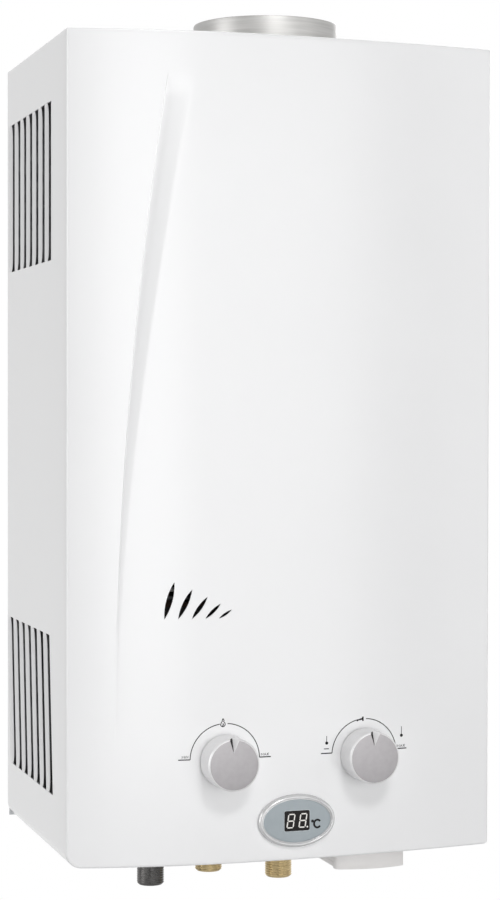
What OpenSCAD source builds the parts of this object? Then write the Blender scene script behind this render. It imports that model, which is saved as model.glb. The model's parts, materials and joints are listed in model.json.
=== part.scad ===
// Wall-hung tankless gas water heater with an open flue, as an assembly of separate pieces.
// X runs to the right seen from the front, Y runs into the wall and Z runs up, in millimetres.
// The origin is the centre of the four wall holes, on the wall plane.

/* [Casing] */
// Width of the casing
casing_w = 315; // [300:1:340]
// Height of the casing
casing_h = 580; // [570:1:620]
// Depth from the wall to the side edges of the front
casing_d = 215; // [212:1:245]
// How far the front bulges forward of its side edges
front_bulge = 16; // [12:0.5:22]
// Distance from the left edge to the crown of the front
crown_offset = 125; // [115:1:158]
// Thickness of the casing sheet
sheet_t = 1; // [0.7:0.1:1.3]
// Radius of the cover's lower left edge
edge_left_r = 10; // [4:1:12]
// Radius of the cover's lower right edge
edge_right_r = 3; // [2:0.5:12]
// Width of the inward lips at the top and bottom of the cover
lip_w = 12; // [9:1:16]
// Gap between pieces that are fitted together
fit_gap = 0.3; // [0.2:0.05:0.4]

/* [Louvres] */
// Number of louvres in a group
vent_count = 7; // [4:1:7]
// Distance from one louvre to the next
vent_pitch = 22.4; // [20:0.2:24]
// Width of a louvre window
vent_w = 16; // [13:0.5:17]
// Height of a louvre window
vent_h = 113; // [80:1:120]
// Width of the blade pressed into a louvre window
vent_blade_w = 7; // [5:0.5:9]
// Angle of a blade to the side of the casing
vent_blade_angle = 14; // [8:1:20]
// Distance from the wall to the middle of the rearmost louvre
vent_first = 22; // [20:1:28]
// Distance from the casing's top or bottom edge to the middle of a group
vent_edge = 100; // [85:1:115]
// Lean of the lower group towards the front
vent_lean = 6; // [0:1:7]

/* [Front fold] */
// Height of the fold's foot above the bottom edge
fold_base = 85; // [70:1:120]
// Distance of the fold's foot from the left edge
fold_foot = 33; // [28:1:40]
// Distance of the fold's upper end from the top edge
fold_top = 28; // [20:1:60]
// Radius of the fold's sharp left line
fold_left_r = 3000; // [2600:50:3400]
// Radius of the fold's soft right line
fold_right_r = 2000; // [1800:50:2300]
// Slope of the pressed facet
fold_slope = 12; // [8:0.5:16]

/* [Sight slots] */
// Number of leaf-shaped sight slots
sight_count = 5; // [3:1:6]
// Length of the first slot
sight_len = 27; // [22:0.5:30]
// How much shorter each following slot is
sight_step = 3.9; // [2:0.1:4]
// Distance between the lower tips
sight_pitch = 9.6; // [8:0.1:12]
// Width of a slot over its length
sight_ratio = 0.15; // [0.12:0.01:0.18]
// Lean of the first slot
sight_lean = 15; // [10:1:20]
// How much further each following slot leans
sight_lean_step = 10.5; // [6:0.5:12]
// Distance of the first lower tip from the left edge
sight_left = 66.5; // [60:0.5:75]
// Height of the lower tips above the bottom edge
sight_base = 172; // [165:1:185]

/* [Controls] */
// Sideways place of the control panel's middle
panel_x = 4.5; // [-5:0.5:8]
// Distance between the two knobs
knob_spacing = 104; // [98:1:112]
// Height of the knobs above the bottom edge
knob_rise = 72.5; // [70:0.5:80]
// Diameter of a knob at its foot
knob_d = 36.4; // [32:0.2:40]
// Diameter of a knob at its face
knob_face_d = 34.8; // [30:0.2:36]
// Height of a knob
knob_h = 20; // [17:0.5:24]
// Diameter of the control spindles
spindle_d = 8; // [6:0.5:9]
// Radial running clearance of spindles, rods and pins
run_gap = 0.05; // [0.02:0.01:0.1]
// Height of the display's middle above the bottom edge
display_rise = 28; // [26:0.5:32]
// Width of the display bezel
bezel_w = 57.5; // [52:0.5:62]
// Height of the display bezel
bezel_h = 37.5; // [34:0.5:40]
// How far the bezel stands out of the front
bezel_proud = 3; // [2:0.5:4]
// Width of the digit window
window_w = 19; // [16:0.5:22]
// Height of the digit window
window_h = 14.4; // [12:0.2:16]

/* [Flue and burner] */
// Outer diameter of the flue collar
collar_d = 108; // [100:1:112]
// Height of the collar's rim above the casing
collar_rise = 23; // [18:1:40]
// Sideways place of the flue
flue_x = 14; // [6:1:16]
// Distance of the flue axis from the wall
flue_depth = 125; // [122:1:128]
// Room left of the exchanger body
room_left = 66.5; // [62:0.5:70]
// Room right of the exchanger body
room_right = 38.5; // [35:0.5:42]
// Room in front of the exchanger body, from the side edges of the front
room_front = 17; // [16:0.5:19]
// Room behind the exchanger body
room_back = 52; // [50:1:56]
// Height of the exchanger body's lower edge above the bottom edge
body_rise = 178; // [172:1:190]
// Height of the exchanger body
body_len = 197; // [190:1:205]
// Copper sheet thickness
copper_t = 1; // [0.8:0.1:1.2]
// Diameter of the exchanger tubes
tube_d = 16; // [14:0.5:18]
// Distance between the exchanger tubes
tube_pitch = 24; // [22:0.5:24.5]
// Number of exchanger tubes
tube_count = 5; // [5:2:5]
// Distance between fins
fin_pitch = 7; // [6:0.5:10]
// Thickness of a fin
fin_t = 0.6; // [0.4:0.1:0.8]
// Height of the burner tray
burner_h = 54; // [50:1:58]
// Number of burner bars
bar_count = 11; // [8:1:11]

/* [Pipes and valves] */
// Diameter of the water pipes
pipe_d = 13; // [11:0.5:14]
// Diameter of the gas pipe
gas_pipe_d = 12; // [10:0.5:13]
// Diameter of the half-inch pipe thread
thread_d = 20.955; // [20:0.005:22]
// Bore of the threaded ends
thread_bore = 15; // [13:0.5:16]
// Distance of the threaded ends from the wall
thread_depth = 60; // [54:1:64]
// How far the gas and cold ends reach below the casing
thread_drop = 48; // [40:1:60]
// How much shorter the hot end is
hot_short = 8; // [0:1:12]
// Sideways place of the gas end
gas_x = -57.5; // [-62:0.5:-52]
// Sideways place of the hot end
hot_x = -11; // [-16:0.5:-8]
// Sideways place of the cold end
cold_x = 46; // [44:0.5:48]
// Distance of the valve axis from the wall
valve_depth = 95; // [92:1:97]
// Radius of the water valve housing
water_valve_r = 30; // [27:0.5:31]
// Radius of the gas valve barrel
gas_valve_r = 22; // [19:0.5:23]
// Travel of the push rod
rod_travel = 4; // [3:0.5:4.5]

/* [Battery box] */
// Sideways place of the box's middle
battery_x = 73.3; // [70:0.5:78]
// Width of the box
battery_w = 49.5; // [44:0.5:52]
// Depth of the box
battery_d = 68; // [68:0.5:70]
// Distance of the box's back from the wall
battery_back = 129; // [128:0.5:131]
// How far the box reaches below the casing
battery_drop = 13; // [8:0.5:18]
// Wall of the box
battery_wall = 1.8; // [1.4:0.1:2.2]
// Thickness of the door
door_t = 3.2; // [2.6:0.1:4]
// Diameter of a battery cell
cell_d = 34; // [33:0.1:34.2]
// Length of a battery cell
cell_len = 60.5; // [59:0.1:61]

/* [Wall mounting] */
// Sideways distance between the wall holes
ear_hole_x = 160; // [120:1:200]
// Diameter of the wall holes
ear_hole_d = 8; // [6:0.5:10]
// How far the ears reach past the casing
ear_reach = 24; // [20:1:30]

/* [Hidden] */

$fn = 64;
fine = 720;
eps = 0.01;

casing_top = casing_h / 2;
casing_bottom = -casing_h / 2;
half_w = casing_w / 2;
crown_x = -half_w + crown_offset;
crown_y = -(casing_d + front_bulge);
left_r = (pow(crown_offset, 2) + pow(front_bulge, 2)) / (2 * front_bulge);
right_r = (pow(casing_w - crown_offset, 2) + pow(front_bulge, 2)) / (2 * front_bulge);
cover_back = -(sheet_t + fit_gap);
vent_tuck = 1;

// Outer front surface at a sideways place
function front_r(x) = x < crown_x ? left_r : right_r;
function front_y(x) = crown_y + front_r(x) - sqrt(pow(front_r(x), 2) - pow(x - crown_x, 2));
function front_tilt(x) = asin((x - crown_x) / front_r(x));
// Most forward place of the front within a reach of x
function foremost_y(x, reach) =
    abs(x - crown_x) <= reach ? crown_y : front_y(x - sign(x - crown_x) * reach);

fold_x = -half_w + fold_foot;
fold_z = casing_bottom + fold_base;
fold_len = casing_h - fold_base - fold_top;
fold_end_x = fold_x + pow(fold_len, 2) / (2 * fold_right_r);
fold_turn = atan((front_y(fold_end_x) - front_y(fold_x)) / (fold_end_x - fold_x));
fold_reach = 40;
fold_runout = 12;

side_x = half_w - sheet_t - fit_gap;
flange_w = 14;
side_flange_w = vent_first - vent_w / 2 - (vent_h / 2 + vent_tuck) * sin(vent_lean) - 1.5;
side_flange_low = casing_bottom + max(edge_left_r, edge_right_r) + 2 * sheet_t;
side_flange_high = casing_top - 3 * sheet_t;
ear_w = ear_hole_x + 40;
ear_hole_z = casing_top + ear_reach / 2;

flue_y = -flue_depth;
body_bottom = casing_bottom + body_rise;
body_top = body_bottom + body_len;
body_left = -half_w + room_left;
body_right = half_w - room_right;
body_front = -casing_d + room_front;
body_back = -room_back;
body_w = body_right - body_left;
body_d = body_back - body_front;
body_x = (body_left + body_right) / 2;
body_y = (body_front + body_back) / 2;
fin_margin = 5;
fin_h = 56;
tube_z = body_top - fin_margin - fin_h / 2;
tube_end = 3;
fin_count = floor((body_w - 2 * copper_t - fin_pitch) / fin_pitch);

bend_r = 15;
coil_gap = 0.25;
coil_off = ceil(10 * (bend_r - (bend_r - pipe_d / 2 - coil_gap) / sqrt(2))) / 10;
coil_left = body_left - coil_off;
coil_right = body_right + coil_off;
coil_front = body_front - coil_off;
coil_back = body_back + coil_off;
coil_step = 35;
coil_low = body_bottom + 37;
coil_high = coil_low + coil_step;
riser_x = body_left - 25;
first_tube_y = body_y - (tube_count - 1) / 2 * tube_pitch;
last_tube_y = body_y + (tube_count - 1) / 2 * tube_pitch;

tray_top = body_bottom;
tray_bottom = tray_top - burner_h;
coil_joint_z = tray_bottom - 12;
tray_wall = 1.5;
bar_margin = 6;
bar_pitch = (body_w - 2 * bar_margin) / bar_count;
rail_h = 6;
bar_bottom = tray_bottom + rail_h;
bar_top = tray_top - 6;
bar_front = body_front + 3;
bar_back = body_back - 3;
throat_r = 5.5;
throat_z = bar_bottom + throat_r;
manifold_w = 12;
manifold_gap = 3;
manifold_back = body_front - manifold_gap;
manifold_y = manifold_back - manifold_w / 2;
manifold_left = body_x - (bar_count / 2) * bar_pitch;
manifold_len = bar_count * bar_pitch;

knob_z = casing_bottom + knob_rise;
gas_knob_x = panel_x - knob_spacing / 2;
water_knob_x = panel_x + knob_spacing / 2;
knob_gap = 0.6;
knob_hub_r = spindle_d / 2 + 3;
knob_hub_len = knob_h - 4;
spindle_r = spindle_d / 2;
valve_y = -valve_depth;
shank_r = thread_d / 2 - 0.4;
thread_y = -thread_depth;
joint_z = casing_bottom + 28;
gas_gland_y = valve_y - 55;
water_gland_y = valve_y - water_valve_r - 2;
gland_len = 8;
spindle_seat = 20;
gas_outlet_z = knob_z + gas_valve_r + 3;
gas_pipe_z = tray_bottom - gas_pipe_d / 2 - 6;

seal_x = 39;
seal_t = 2;
water_half_t = 16;
cover_left = seal_x - seal_t / 2 - water_half_t;
body_side = seal_x + seal_t / 2;
water_outlet_x = 84;
chamber_r = water_valve_r - 8;
chamber_t = 9;
rod_r = 3;
rod_plate_r = chamber_r - 2;
rod_plate_t = 2;
rod_plate_x = seal_x - seal_t / 2 - 0.4;
rod_boss_x = -14;
rod_end_x = rod_boss_x - 12;
rod_collar_x = cover_left - 13;
rod_collar_r = 6;
rod_collar_t = 3;
screw_ring_r = water_valve_r - 4;
screw_n = 6;

lever_x = rod_collar_x - 1;
lever_pivot_z = knob_z + 17.5;
lever_len = 14;
lever_w = 4;
switch_right = lever_x - 5.5;
switch_len = 16.5;
switch_w = 6.4;
switch_h = 11;
switch_z = lever_pivot_z - 8;

box_bottom = casing_bottom - battery_drop;
box_top = knob_z - spindle_r - 6;
box_left = battery_x - battery_w / 2;
box_right = battery_x + battery_w / 2;
box_back = -battery_back;
box_front = box_back - battery_d;
box_crown_r = 75;
flange_t = 1.5;
hinge_r = 2.4;
pin_r = 1.2;
hinge_y = box_back + hinge_r + 0.6;
hinge_z = box_bottom - fit_gap - door_t / 2;
door_gap = 0.4;

display_z = casing_bottom + display_rise;
bezel_wall = 3.4;
bezel_skirt = 2.2;
oval_n = 96;
face_w = bezel_w - 2 * bezel_wall;
face_h = bezel_h - 2 * bezel_wall;
face_back = 0.6;
board_y = 6;
board_t = 1.6;

elec_left = -half_w + 12.5;
elec_w = 70;
elec_d = -coil_back - pipe_d / 2 - sheet_t - 1;
elec_h = 90;
elec_bottom = casing_bottom + 180;
elec_front = -sheet_t - elec_d;
lead_d = 3;
lead_bend = 6;
lead_y = -20;
lead_front = coil_front - pipe_d / 2 - lead_d / 2 - 1;
spark_x = -30;
spark_z = body_bottom + 14;
sense_x = 0;
sense_z = body_bottom + 8;
ceramic_r = 3.5;
ceramic_front = body_front - 9;

white = [0.93, 0.94, 0.95];
steel = [0.68, 0.70, 0.72];
copper = [0.72, 0.45, 0.30];
brass = [0.75, 0.62, 0.33];
cast = [0.62, 0.63, 0.65];
black = [0.08, 0.08, 0.09];
plastic = [0.85, 0.84, 0.82];

// General shapes

function unit(v) = v / norm(v);
function side_of(u) = abs(u.z) > 0.5 ? [1, 0, 0] : [0, 0, 1];

module along(start, dir) {
    u = unit(dir);
    n = side_of(u);
    m = cross(u, n);
    multmatrix([[n.x, m.x, u.x, start.x], [n.y, m.y, u.y, start.y], [n.z, m.z, u.z, start.z]]) children();
}

module rod(start, end, r) {
    along(start, end - start) cylinder(r = r, h = norm(end - start));
}

module elbow(corner, u, v, bend, r) {
    c = corner - u * bend + v * bend;
    w = cross(u, v);
    multmatrix([[-v.x, u.x, w.x, c.x], [-v.y, u.y, w.y, c.y], [-v.z, u.z, w.z, c.z]])
        rotate_extrude(angle = 90) translate([bend, 0]) circle(r = r);
}

// Round pipe along square turns, with a bend at each inner point
module pipe(points, d, bend) {
    last = len(points) - 1;
    for (i = [0 : last - 1]) {
        u = unit(points[i + 1] - points[i]);
        trim_a = i == 0 ? 0 : bend;
        trim_b = i == last - 1 ? 0 : bend;
        if (norm(points[i + 1] - points[i]) > trim_a + trim_b + eps)
            rod(points[i] + u * trim_a, points[i + 1] - u * trim_b, d / 2);
        if (i < last - 1)
            elbow(points[i + 1], u, unit(points[i + 2] - points[i + 1]), bend, d / 2);
    }
}

// Box from its low corner to its high corner
module block(low, high) {
    translate(low) cube(high - low);
}

// Elliptical outline
module oval(w, h) {
    polygon([for (i = [0 : oval_n - 1]) [w / 2 * cos(i * 360 / oval_n), h / 2 * sin(i * 360 / oval_n)]]);
}

// Plate of an oval outline between two depths, facing forward
module oval_plate(w, h, y0, y1) {
    translate([0, y1, 0]) rotate([90, 0, 0]) linear_extrude(y1 - y0) oval(w, h);
}

// Solid under the bulged front, set in by an even amount, between two heights
module front_form(inset, z0, z1, back) {
    for (s = [-1, 1]) {
        r = s < 0 ? left_r : right_r;
        edge = s * (half_w - inset);
        intersection() {
            block([min(edge, crown_x), crown_y - eps, z0], [max(edge, crown_x), back, z1]);
            translate([crown_x, crown_y + r, z0 - 1]) cylinder(r = r - inset, h = z1 - z0 + 2, $fn = fine);
        }
    }
}

// Crescent pressed into the front: a sharp left line, and a facet that rises to the right line
module fold_cut(inset) {
    deep = 12;
    slope = tan(fold_slope);
    translate([fold_x, front_y(fold_x), fold_z]) rotate([0, 0, fold_turn]) translate([0, inset, 0])
        intersection() {
            difference() {
                translate([fold_left_r, -deep, 0]) rotate([-90, 0, 0])
                    cylinder(r = fold_left_r + inset, h = 2 * deep, $fn = 2 * fine);
                translate([fold_right_r, -deep - 1, 0]) rotate([-90, 0, 0])
                    cylinder(r1 = fold_right_r - (deep + 1) / slope, r2 = fold_right_r + (deep + 1) / slope,
                        h = 2 * (deep + 1), $fn = 2 * fine);
            }
            translate([-fold_reach, 0, fold_len]) rotate([fold_runout - 90, 0, 0])
                translate([0, -casing_h, -casing_h]) cube([4 * fold_reach, 2 * casing_h, casing_h]);
            block([-fold_reach, -deep, 0], [3 * fold_reach, deep, fold_len + deep]);
        }
}

module pressed_form(inset, z0, z1, back) {
    difference() {
        front_form(inset, z0, z1, back);
        fold_cut(inset);
    }
}

// Points of an arc between two angles
function arc(c, r, a0, a1, n) =
    [for (i = [0 : n]) c + r * [cos(a0 + (a1 - a0) * i / n), sin(a0 + (a1 - a0) * i / n)]];

// Front outline with its rounded lower edges, set in by an even amount and run through the depth
module edge_form(inset) {
    over = 0.15;
    left = [-half_w + edge_left_r - over, casing_bottom + edge_left_r - over];
    right = [half_w - edge_right_r + over, casing_bottom + edge_right_r - over];
    translate([0, 2, 0]) rotate([90, 0, 0]) linear_extrude(-crown_y + 4) polygon(concat(
        arc(left, edge_left_r - inset, 180, 270, 9),
        arc(right, edge_right_r - inset, 270, 360, 6),
        [[right.x + edge_right_r - inset, casing_top + 5], [left.x - edge_left_r + inset, casing_top + 5]]));
}

// Places of one louvre: side, group and column
module each_louvre() {
    for (s = [-1, 1], g = [-1, 1], i = [0 : vent_count - 1])
        translate([s * half_w, -(vent_first + i * vent_pitch), g * (casing_top - vent_edge)])
            rotate([g < 0 ? -vent_lean : 0, 0, 0]) mirror([s > 0 ? 1 : 0, 0, 0]) children();
}

// Blade of a louvre, its ends tucked behind the sheet
module louvre_blade() {
    translate([0, vent_w / 2, -vent_h / 2 - vent_tuck]) rotate([0, 0, vent_blade_angle])
        translate([0, -vent_blade_w, 0]) cube([sheet_t, vent_blade_w, vent_h + 2 * vent_tuck]);
}

module sight_slots() {
    for (i = [0 : sight_count - 1]) {
        l = sight_len - i * sight_step;
        w = l * sight_ratio;
        r = (l * l / 4 + w * w / 4) / w;
        translate([-half_w + sight_left + i * sight_pitch, crown_y - 1, casing_bottom + sight_base])
            rotate([0, sight_lean + i * sight_lean_step, 0]) translate([0, 0, l / 2])
                intersection_for (s = [-1, 1])
                    translate([s * (r - w / 2), 0, 0]) rotate([-90, 0, 0])
                        cylinder(r = r, h = casing_d / 5, $fn = 96);
    }
}

// Frame of the display, on the front and square to it
module at_display() {
    translate([panel_x, front_y(panel_x), display_z]) rotate([0, 0, front_tilt(panel_x)]) children();
}

module cover_screw_place() {
    for (s = [-1, 1]) {
        x = s * (half_w - 37);
        translate([x, front_y(x) + sheet_t + lip_w / 2, casing_bottom]) children();
    }
}

module hex_nut(across, hole_r, h) {
    difference() {
        cylinder(d = across / cos(30), h = h, $fn = 6);
        translate([0, 0, -eps]) cylinder(r = hole_r, h = h + 2 * eps);
    }
}

module ring(r, hole_r, h) {
    difference() {
        cylinder(r = r, h = h);
        translate([0, 0, -eps]) cylinder(r = hole_r, h = h + 2 * eps);
    }
}

// Casing

module back_plate() {
    color(steel) difference() {
        union() {
            block([-side_x, -sheet_t, casing_bottom], [side_x, 0, casing_top]);
            for (s = [-1, 1]) {
                z = s * (casing_top + ear_reach / 2);
                translate([0, -sheet_t / 2, z]) cube([ear_w, sheet_t, ear_reach + eps], center = true);
                translate([s * (side_x - sheet_t / 2), 0, 0])
                    block([-sheet_t / 2, -side_flange_w, side_flange_low],
                        [sheet_t / 2, 0, side_flange_high]);
            }
        }
        for (sx = [-1, 1], sz = [-1, 1])
            translate([sx * ear_hole_x / 2, 1, sz * ear_hole_z]) rotate([90, 0, 0])
                cylinder(d = ear_hole_d, h = sheet_t + 2);
    }
}

module support_brackets() {
    arm_t = 2;
    arm_w = 24;
    leg = 18;
    hot_z = coil_high + pipe_d + 8;
    tray_z = tray_bottom + burner_h / 2;
    color(steel) for (s = [-1, 1], z = [hot_z, tray_z])
        translate([body_x + s * body_w / 3 - arm_w / 2, 0, z]) {
        block([0, body_back, 0], [arm_w, -sheet_t, arm_t]);
        block([0, -sheet_t - arm_t, 0], [arm_w, -sheet_t, leg]);
        block([0, body_back, 0], [arm_w, body_back + arm_t, leg]);
    }
}

module front_cover() {
    color(white) difference() {
        union() {
            difference() {
                intersection() {
                    pressed_form(0, casing_bottom, casing_top, cover_back);
                    edge_form(0);
                }
                intersection() {
                    pressed_form(sheet_t, casing_bottom + sheet_t, casing_top - sheet_t, 1);
                    edge_form(sheet_t);
                }
                front_form(lip_w + sheet_t, casing_bottom - 1, casing_top + 1, 1);
            }
            each_louvre() louvre_blade();
        }
        each_louvre() louvre_window();
        sight_slots();
        for (x = [gas_knob_x, water_knob_x])
            translate([x, crown_y - 1, knob_z]) rotate([-90, 0, 0])
                cylinder(r = spindle_r + 2, h = front_bulge + 5);
        at_display() oval_plate(face_w + 2 * bezel_skirt + 2 * fit_gap,
            face_h + 2 * bezel_skirt + 2 * fit_gap, -5, 5);
        cover_screw_place() translate([0, 0, -1]) cylinder(r = 2.1, h = sheet_t + 2);
    }
}

// Window of a louvre, in front of its blade
module louvre_window() {
    difference() {
        translate([-1, -vent_w / 2, -vent_h / 2]) cube([sheet_t + 2, vent_w, vent_h]);
        louvre_blade();
    }
}

module plate_form(z, hole_clear) {
    front_form(sheet_t + hole_clear, z, z + sheet_t, -sheet_t);
}

module top_plate() {
    z = casing_top - 2 * sheet_t;
    color(steel) difference() {
        union() {
            plate_form(z, fit_gap);
            block([-ear_w / 2, -2 * sheet_t, z - flange_w], [ear_w / 2, -sheet_t, z + eps]);
        }
        translate([flue_x, flue_y, z - 1]) cylinder(d = collar_d + 2 * fit_gap, h = sheet_t + 2, $fn = 128);
    }
}

module bottom_plate() {
    z = casing_bottom + sheet_t;
    slot_n = 8;
    slot_pitch = 17;
    color(steel) difference() {
        union() {
            intersection() {
                plate_form(z, fit_gap);
                edge_form(sheet_t + fit_gap);
            }
            block([-ear_w / 2, -2 * sheet_t, z], [ear_w / 2, -sheet_t, z + flange_w]);
        }
        for (x = [gas_x, hot_x, cold_x])
            translate([x, thread_y, z - 1]) cylinder(d = thread_d + 2 * fit_gap, h = sheet_t + 2);
        block([box_left - fit_gap, box_front - fit_gap, z - 1],
            [box_right + fit_gap, box_back + fit_gap, z + sheet_t + 1]);
        for (i = [0 : slot_n - 1])
            translate([box_left - 22 - i * slot_pitch, box_back, z - 1])
                translate([-3, -44, 0]) cube([6, 44, sheet_t + 2]);
        cover_screw_place() cylinder(r = 2.1, h = 3 * sheet_t);
    }
}

module cover_screws() {
    color(steel) cover_screw_place() {
        translate([0, 0, -2]) cylinder(r = 4, h = 2);
        cylinder(r = 1.95, h = 9);
    }
}

// Flue and heat exchanger

hood_base = body_top - 10;
hood_neck = collar_d + 14;
hood_top = casing_top - 28;
hood_gap = fit_gap;
hood_skirt_top = body_top + 45;
hood_slope_top = hood_top - 36;

module flue_collar() {
    r = collar_d / 2;
    neck = r - 0.6;
    t = sheet_t;
    top = casing_top + collar_rise;
    color(steel) translate([flue_x, flue_y, 0]) rotate_extrude($fn = 128) polygon([
        [neck - t, hood_top], [r + 6, hood_top], [r + 6, hood_top + t], [neck, hood_top + t],
        [neck, casing_top], [r, casing_top], [r, top], [r - t, top],
        [r - t, casing_top + t], [neck - t, casing_top + t]]);
}

module slab(x, y, w, d, z) {
    translate([x, y, z]) cube([w, d, 2 * eps], center = true);
}

module draft_hood() {
    w = body_w + 2 * (hood_gap + copper_t);
    d = body_d + 2 * (hood_gap + copper_t);
    t = copper_t;
    n = hood_neck;
    relief_h = 16;
    color(steel) {
        difference() {
            union() {
                translate([body_x, body_y, 0])
                    block([-w / 2, -d / 2, hood_base], [w / 2, d / 2, hood_skirt_top]);
                hull() {
                    slab(body_x, body_y, w, d, hood_skirt_top);
                    slab(flue_x, flue_y, n, n, hood_slope_top);
                }
                translate([flue_x, flue_y, 0])
                    block([-n / 2, -n / 2, hood_slope_top], [n / 2, n / 2, hood_top]);
            }
            translate([body_x, body_y, 0])
                block([-w / 2 + t, -d / 2 + t, hood_base - 1], [w / 2 - t, d / 2 - t, hood_skirt_top]);
            hull() {
                slab(body_x, body_y, w - 2 * t, d - 2 * t, hood_skirt_top);
                slab(flue_x, flue_y, n - 2 * t, n - 2 * t, hood_slope_top);
            }
            translate([flue_x, flue_y, 0])
                block([-n / 2 + t, -n / 2 + t, hood_slope_top], [n / 2 - t, n / 2 - t, hood_top - t]);
            translate([flue_x, flue_y, hood_top - 2 * t])
                cylinder(d = collar_d - 2 * sheet_t, h = 4 * t, $fn = 128);
            translate([body_x, body_y - d / 2, body_top + 18])
                cube([body_w - 40, 4 * t, relief_h], center = true);
        }
    }
}

module spill_thermostat() {
    y = flue_y - hood_neck / 2;
    color(black) translate([flue_x, y, hood_top - 18]) rotate([90, 0, 0]) {
        cylinder(r = 8, h = 5);
        cylinder(r = 6, h = 9);
        for (s = [-1, 1]) translate([s * 3 - 0.4, -3, 9]) cube([0.8, 6, 7]);
    }
}

module heat_body() {
    t = copper_t;
    color(copper) difference() {
        block([body_left, body_front, body_bottom], [body_right, body_back, body_top]);
        block([body_left + t, body_front + t, body_bottom - 1],
            [body_right - t, body_back - t, body_top + 1]);
        each_tube() translate([0, 0, -1]) cylinder(d = tube_d + 2 * run_gap, h = body_w + 2);
        for (p = [[spark_x, spark_z], [sense_x, sense_z]])
            translate([p.x, body_front - 1, p.y]) rotate([-90, 0, 0])
                cylinder(r = ceramic_r + fit_gap, h = t + 2);
        block([body_left + 12, body_front - 1, body_bottom + 3],
            [body_left + 42, body_front + 2 * t, body_bottom + 17]);
    }
}

// Tube axes, each starting at the left wall and running right
module each_tube() {
    for (i = [0 : tube_count - 1])
        translate([body_left, first_tube_y + i * tube_pitch, tube_z]) rotate([0, 90, 0]) children();
}

module exchanger_fins() {
    fin_d = body_d - 2 * copper_t - 2;
    span = (fin_count - 1) * fin_pitch;
    color(copper) for (i = [0 : fin_count - 1])
        translate([body_x - span / 2 + i * fin_pitch - fin_t / 2, body_y, tube_z]) rotate([90, 0, 90])
            linear_extrude(fin_t) difference() {
                square([fin_d, fin_h], center = true);
                for (k = [0 : tube_count - 1])
                    translate([(k - (tube_count - 1) / 2) * tube_pitch, 0])
                        circle(d = tube_d + 2 * run_gap);
            }
}

module exchanger_tubes() {
    color(copper) {
        each_tube() translate([0, 0, -tube_end]) cylinder(d = tube_d, h = body_w + 2 * tube_end);
        for (i = [0 : tube_count - 2]) {
            right = i % 2 == 0;
            y = first_tube_y + (i + 0.5) * tube_pitch;
            translate([right ? body_right + tube_end : body_left - tube_end, y, tube_z])
                rotate([0, 0, right ? -90 : 90])
                    rotate_extrude(angle = 180) translate([tube_pitch / 2, 0]) circle(d = tube_d);
        }
    }
}

module jacket_coil() {
    color(copper) pipe([
        [coil_right, coil_back, coil_joint_z],
        [coil_right, coil_back, coil_low],
        [coil_right, coil_front, coil_low],
        [coil_left, coil_front, coil_low],
        [coil_left, coil_back, coil_low],
        [coil_left, coil_back, coil_high],
        [coil_right, coil_back, coil_high],
        [coil_right, coil_front, coil_high],
        [riser_x, coil_front, coil_high],
        [riser_x, coil_front, tube_z],
        [riser_x, first_tube_y, tube_z],
        [body_left - tube_end, first_tube_y, tube_z]], pipe_d, bend_r);
}

hot_drop_x = body_right + 22;
hot_run_y = -28;
hot_run_z = coil_joint_z - 14;

module hot_pipe() {
    color(copper) pipe([
        [body_right + tube_end, last_tube_y, tube_z],
        [hot_drop_x, last_tube_y, tube_z],
        [hot_drop_x, hot_run_y, tube_z],
        [hot_drop_x, hot_run_y, hot_run_z],
        [hot_x, hot_run_y, hot_run_z],
        [hot_x, thread_y, hot_run_z],
        [hot_x, thread_y, joint_z]], pipe_d, bend_r);
}

module cold_pipe() {
    color(copper) pipe([
        [water_outlet_x, valve_y, knob_z],
        [coil_right, valve_y, knob_z],
        [coil_right, coil_back, knob_z],
        [coil_right, coil_back, coil_joint_z]], pipe_d, bend_r);
}

module pipe_nuts() {
    nut_h = 12;
    nut_w = pipe_d + 8;
    hole = pipe_d / 2 + run_gap;
    color(brass) {
        translate([coil_right, coil_back, coil_joint_z - nut_h / 2]) hex_nut(nut_w, hole, nut_h);
        translate([hot_x, thread_y, joint_z]) hex_nut(nut_w + 4, hole, nut_h);
        translate([water_outlet_x, valve_y, knob_z]) rotate([0, 90, 0]) hex_nut(nut_w, hole, nut_h);
        translate([gas_knob_x, valve_y, gas_outlet_z]) hex_nut(nut_w, gas_pipe_d / 2 + run_gap, nut_h / 4);
    }
}

module overheat_thermostat() {
    y = hot_run_y - pipe_d / 2 - run_gap;
    color(black) translate([hot_drop_x, y, body_top - 90]) rotate([90, 0, 0]) {
        cylinder(r = 6, h = 3);
        translate([0, 0, 3]) cylinder(r = 8, h = 6);
        for (s = [-1, 1]) translate([s * 3 - 0.4, -3, 9]) cube([0.8, 6, 7]);
    }
}

// Burner

module each_bar() {
    for (i = [0 : bar_count - 1]) translate([body_x + (i - (bar_count - 1) / 2) * bar_pitch, 0, 0])
        children();
}

module burner_tray() {
    t = tray_wall;
    rail_w = 6;
    color(steel) {
        difference() {
            block([body_left, body_front, tray_bottom], [body_right, body_back, tray_top]);
            block([body_left + t, body_front + t, tray_bottom - 1],
                [body_right - t, body_back - t, tray_top + 1]);
            each_bar() translate([0, body_front - 1, throat_z]) rotate([-90, 0, 0])
                cylinder(r = throat_r, h = t + 2);
        }
        for (y = [bar_front + 8, bar_back - 8 - rail_w])
            block([body_left + t / 2, y, tray_bottom], [body_right - t / 2, y + rail_w, bar_bottom]);
    }
}

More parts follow.
